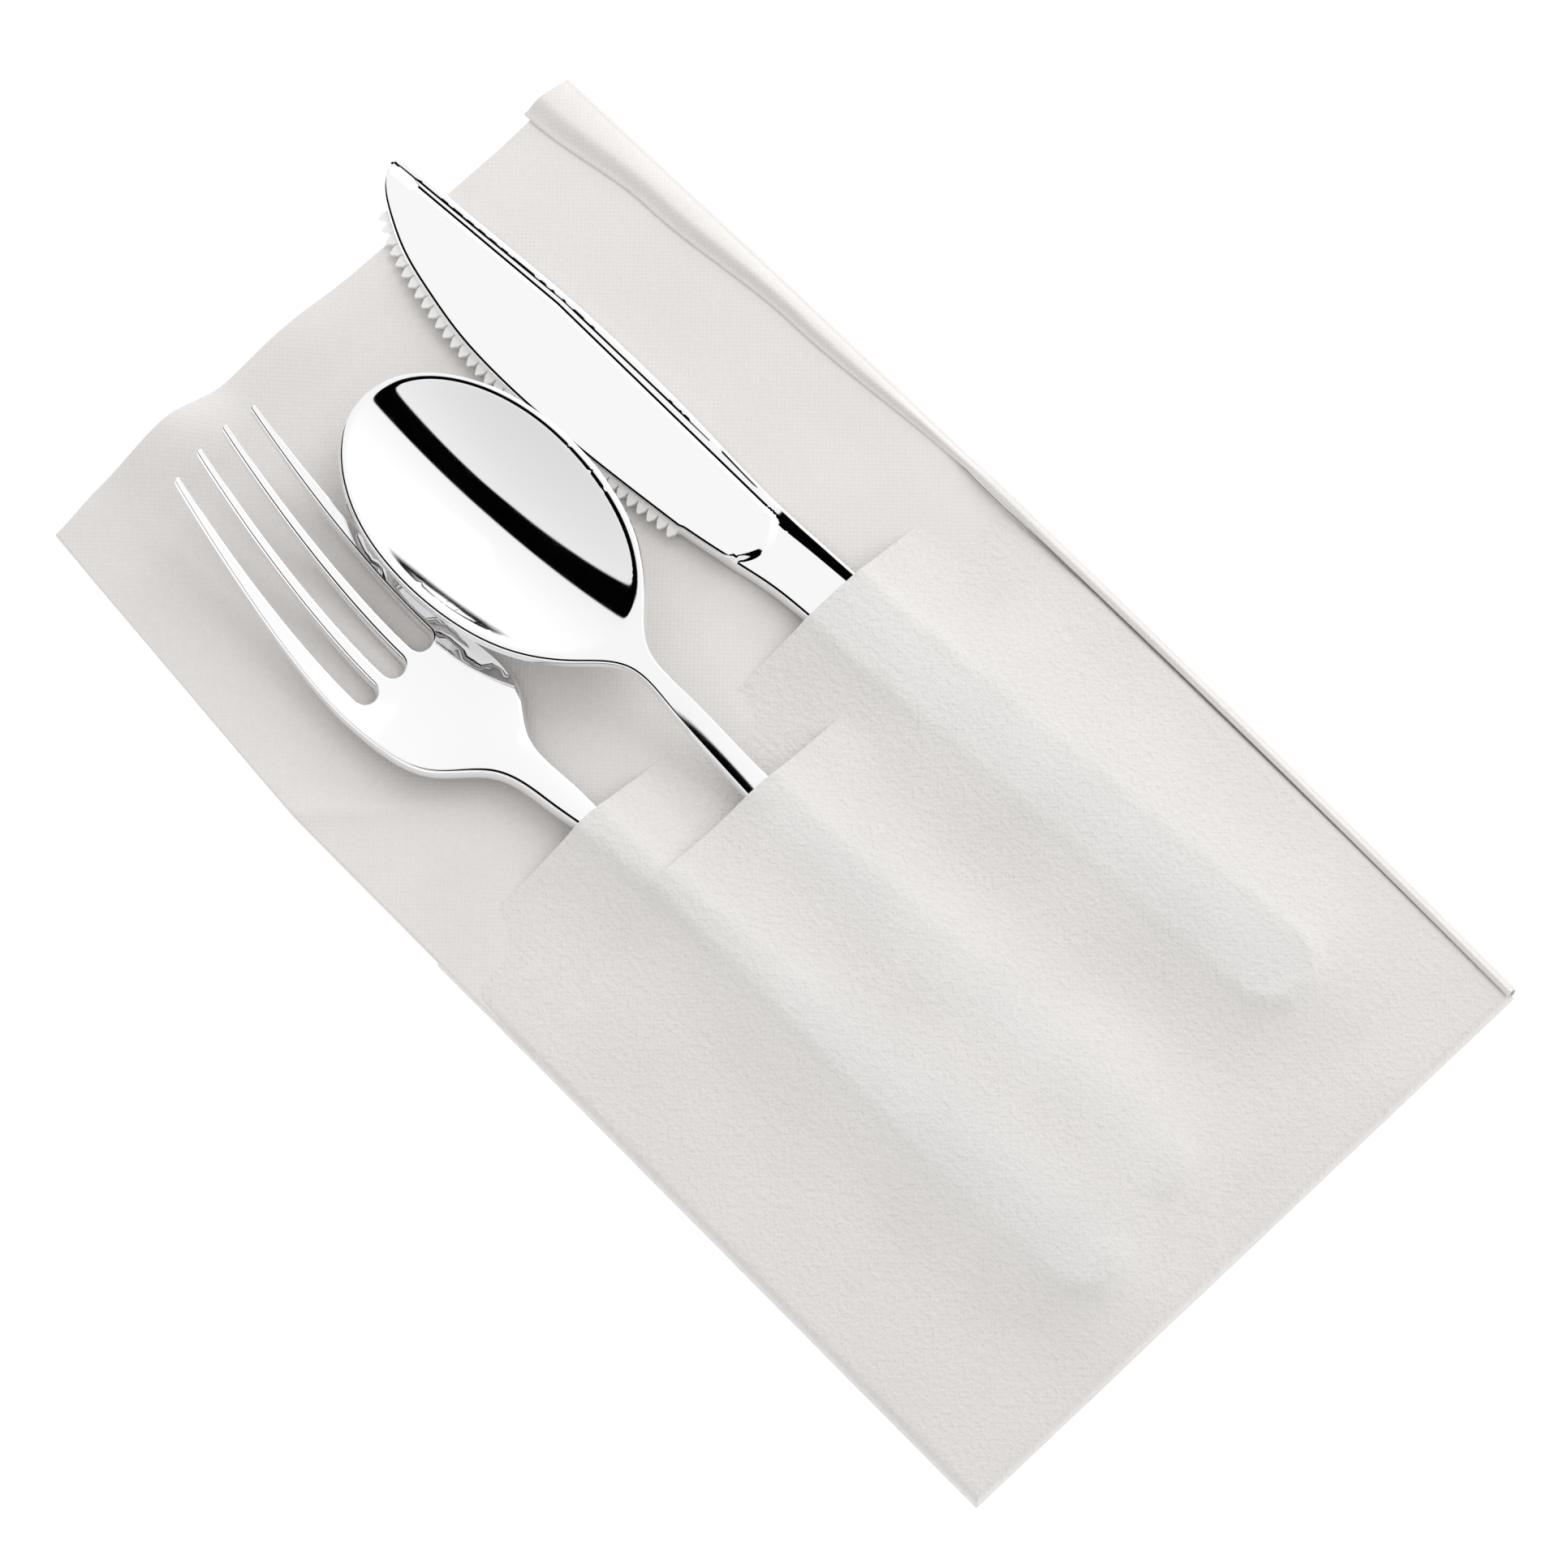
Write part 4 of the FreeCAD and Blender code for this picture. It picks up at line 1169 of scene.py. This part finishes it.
class NAPKIN_OT_cutlery(bpy.types.Operator):
    """Build the fork, the spoon and the knife with its teeth."""

    bl_idname = "napkin.cutlery"
    bl_label = "Cutlery"

    def execute(self, context):
        cutlery = context.scene.napkin_cutlery
        silver = silver_material(cutlery)
        draft, step, flange = cutlery.draft / MM, cutlery.grid / MM, cutlery.bowl_flange / MM
        shapes = {
            "fork": (fork_loop(), fork_top, FORK_THICKNESS, lambda s: fork_draft(s, draft), None),
            "spoon": (
                spoon_loop(), lambda w, s: spoon_top(w, s, flange), SPOON_THICKNESS,
                draft * 0.75, spoon_features(flange),
            ),
            "knife": (knife_loop(), knife_top, KNIFE_THICKNESS, draft, knife_features()),
        }
        turns = {
            "fork": (slide_lean("fork"), cutlery.fork_roll),
            "spoon": (cutlery.spoon_lean, 0.0),
            "knife": (slide_lean("knife"), 0.0),
        }
        for name, (loop, top, thickness, reach, extra) in shapes.items():
            points, faces, normals = moulded(loop, top, thickness, reach, step, extra)
            count = len(points)
            if name == "knife":
                teeth, tooth_faces = knife_teeth()
                points = np.concatenate([points, teeth])
                normals = np.concatenate([normals, np.tile([0.0, 0.0, 1.0], (len(teeth), 1))])
            points, normals = seated(points, normals, name, *turns[name])
            if name == "fork":
                points, normals = fork_bent(points, normals)
            if name == "knife":
                # the teeth get matte near-white, a painted reflection
                finish = tooth_reflection_paint(cutlery)
                tooth_piece = new_piece("knife_teeth", points[count:], [tooth_faces], finish, sharp=20)
                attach(tooth_piece, name)
            piece = new_piece("silver_" + name, points[:count], faces, silver, normals[:count])
            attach(piece, name)
            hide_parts(name)
        return {"FINISHED"}


class NAPKIN_OT_leaves(bpy.types.Operator):
    """Build the rear leaf, the front leaf and the margin that joins them at the fold line."""

    bl_idname = "napkin.leaves"
    bl_label = "Leaves"

    def execute(self, context):
        paper = context.scene.napkin_paper
        linen = paper_material("linen_paper", paper, 0.0)
        rear = rear_leaf_fold(paper, linen)
        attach(rear, REAR)
        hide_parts("rear_leaf")
        front = front_leaf_fold(paper, linen)
        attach(front, FRONT)
        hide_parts("front_leaf")
        spine, spine_width = spine_margin(paper, linen)
        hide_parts("right_turnover")
        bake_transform(spine)
        return {"FINISHED"}


class NAPKIN_OT_pockets(bpy.types.Operator):
    """Drape the two plies of the pockets over the handles."""

    bl_idname = "napkin.pockets"
    bl_label = "Pockets"

    def execute(self, context):
        paper = context.scene.napkin_paper
        felt = paper_material("felted_paper", paper, 1.0)
        cutlery = [bpy.data.objects["silver_" + n] for n in ("fork", "spoon", "knife")]
        inner, outer = pocket_plies(paper, felt, *cutlery)
        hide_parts("pocket_inner_ply")
        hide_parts("pocket_outer_ply", "bottom_fold", "left_fold")
        for piece in (inner, outer):
            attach(piece, FRONT)
        return {"FINISHED"}


class NAPKIN_OT_studio(bpy.types.Operator):
    """Set up the pale floor, the light tent, the softbox and the camera."""

    bl_idname = "napkin.studio"
    bl_label = "Studio"

    def execute(self, context):
        studio = context.scene.napkin_studio
        scene = context.scene
        floor(studio)
        tent(studio)
        softbox(studio)
        scene.camera = camera(studio)
        scene.view_settings.view_transform = "Standard"
        return {"FINISHED"}


def floor(studio):
    """Large pale sweep with softly turned-up edges, lit a little from within like a light table."""
    half = studio.floor_size / 2 / MM
    places = np.linspace(-half, half, 25)
    x, y = np.meshgrid(places, places)
    away = np.maximum(np.hypot(x, y) - half * 0.75, 0)
    z = -0.15 + 0.0002 * away**2
    material, tree, shader, _ = material_base("studio_floor")
    feed(tree, shader, {
        "Roughness": 0.9,
        "Specular IOR Level": 0.1,
        "Emission Color": (1, 1, 1, 1),
        "Emission Strength": 0.62,
        "Base Color": (0.94, 0.94, 0.94, 1),
    })
    points = as_points(x, y, z)
    new_piece("studio_floor", points, [grid_faces(len(places), len(places))], material)


SLIT = (-0.215, 0.125)       # dark slit overhead, along X
SLIT_SLANT = 0.14            # its slant towards +Y
SLIT_REACH = (-0.80, 1.2)    # and its ends along Y
LOW_GAP = (0.02, 0.08)       # dark gap between the floor and the tent
MIRROR_GAIN = 0.17           # how much brighter the tent is in reflections
TENT_SIDE = 0.22             # how much brighter the tent is on the fold line's side


def tent(studio):
    """Light tent: bright above, a dark slit overhead and a dark gap low down that only reflections see."""
    world = bpy.data.worlds.new("light_tent")
    bpy.context.scene.world = world
    world.use_nodes = True
    tree = world.node_tree
    background = next(n for n in tree.nodes if n.type == "BACKGROUND")
    output = next(n for n in tree.nodes if n.type == "OUTPUT_WORLD")
    way = node(tree, "ShaderNodeTexCoord").outputs["Generated"]
    x, y, z = node(tree, "ShaderNodeSeparateXYZ", {0: way}).outputs

    def band(value, low, high, soft):
        """1 between low and high, 0 outside, over a soft edge."""
        rises = math_node(tree, "DIVIDE", math_node(tree, "SUBTRACT", value, low - soft), 2 * soft)
        falls = math_node(tree, "DIVIDE", math_node(tree, "SUBTRACT", high + soft, value), 2 * soft)
        both = math_node(tree, "MINIMUM", rises, falls)
        return math_node(tree, "MINIMUM", math_node(tree, "MAXIMUM", both, 0.0), 1.0)

    slit_place = math_node(tree, "ADD", x, math_node(tree, "MULTIPLY", y, SLIT_SLANT))
    slit = math_node(tree, "MULTIPLY", band(slit_place, *SLIT, 0.012), band(y, *SLIT_REACH, 0.05))
    slit = math_node(tree, "MULTIPLY", slit, band(z, 0.05, 2.0, 0.05))
    gap = band(z, *LOW_GAP, 0.02)
    dark = math_node(tree, "MAXIMUM", slit, gap)
    paths = node(tree, "ShaderNodeLightPath").outputs
    seen_dark = math_node(tree, "MULTIPLY", dark, paths["Is Glossy Ray"])
    side = math_node(tree, "MULTIPLY_ADD", x, TENT_SIDE, 1.0)
    mirrored = math_node(tree, "MULTIPLY_ADD", paths["Is Glossy Ray"], MIRROR_GAIN, 1.0)
    glow = math_node(tree, "MULTIPLY", math_node(tree, "MULTIPLY", side, studio.sky), mirrored)
    bright = math_node(tree, "MULTIPLY", glow, math_node(tree, "SUBTRACT", 1.0, seen_dark))
    choice = {0: paths["Is Camera Ray"], 2: bright, 3: 1.0}
    shown = node(tree, "ShaderNodeMix", choice, data_type="FLOAT").outputs[0]
    feed(tree, background, {"Strength": shown, "Color": (1, 1, 1, 1)})
    tree.links.new(background.outputs[0], output.inputs["Surface"])


def softbox(studio):
    """Large soft light from the fold line's side."""
    light = bpy.data.lights.new("softbox", "AREA")
    light.shape = "RECTANGLE"
    light.size = 0.5
    light.size_y = 0.7
    light.energy = studio.key
    box = linked("softbox", light)
    box.location = (0.62, 0.22, 0.50)
    box.rotation_euler = Vector(box.location).to_track_quat("Z", "Y").to_euler()


SENSOR_WIDTH = 36.0
LENS_SHIFT = (0.01208, -0.00459)


def camera(studio):
    """Camera above the handles' end, looking at the napkin's middle."""
    tilt, azimuth, roll = studio.tilt, studio.azimuth, studio.roll
    back = Vector((math.sin(tilt) * math.cos(azimuth), math.sin(tilt) * math.sin(azimuth), math.cos(tilt)))
    level = Vector((0, 0, 1)).cross(back).normalized()
    up = back.cross(level)
    right = level * math.cos(roll) + up * math.sin(roll)
    upward = up * math.cos(roll) - level * math.sin(roll)
    lens = bpy.data.cameras.new("camera")
    lens.sensor_width = SENSOR_WIDTH
    lens.lens = studio.lens
    lens.shift_x, lens.shift_y = LENS_SHIFT
    made = linked("camera", lens)
    turn = Matrix((right, upward, back)).transposed().to_4x4()
    made.matrix_world = Matrix.Translation(back * studio.distance) @ turn
    return made


class NAPKIN_PT_panel(bpy.types.Panel):
    """Lists the sizes and the steps that build the napkin."""

    bl_label = "Pocket napkin"
    bl_idname = "NAPKIN_PT_panel"
    bl_space_type = "VIEW_3D"
    bl_region_type = "UI"
    bl_category = "Napkin"

    def draw(self, context):
        for step in STEPS:
            self.layout.operator(step.bl_idname)
        for name in ("napkin_paper", "napkin_cutlery", "napkin_studio"):
            group = getattr(context.scene, name)
            for prop in group.bl_rna.properties:
                if prop.identifier not in ("rna_type", "name"):
                    self.layout.prop(group, prop.identifier)


GROUPS = {"napkin_paper": PaperProps, "napkin_cutlery": CutleryProps, "napkin_studio": StudioProps}
STEPS = (NAPKIN_OT_cutlery, NAPKIN_OT_leaves, NAPKIN_OT_pockets, NAPKIN_OT_studio)


def register():
    """Adds the properties, the steps and the panel."""
    for group in (*GROUPS.values(), *STEPS, NAPKIN_PT_panel):
        bpy.utils.register_class(group)
    for name, group in GROUPS.items():
        setattr(bpy.types.Scene, name, bpy.props.PointerProperty(type=group))


def unregister():
    """Takes them away again."""
    for name in GROUPS:
        delattr(bpy.types.Scene, name)
    for group in reversed((*GROUPS.values(), *STEPS, NAPKIN_PT_panel)):
        bpy.utils.unregister_class(group)


def main():
    """Runs every step."""
    register()
    for step in STEPS:
        area, name = step.bl_idname.split(".")
        getattr(getattr(bpy.ops, area), name)()


if __name__ == "__main__":
    main()
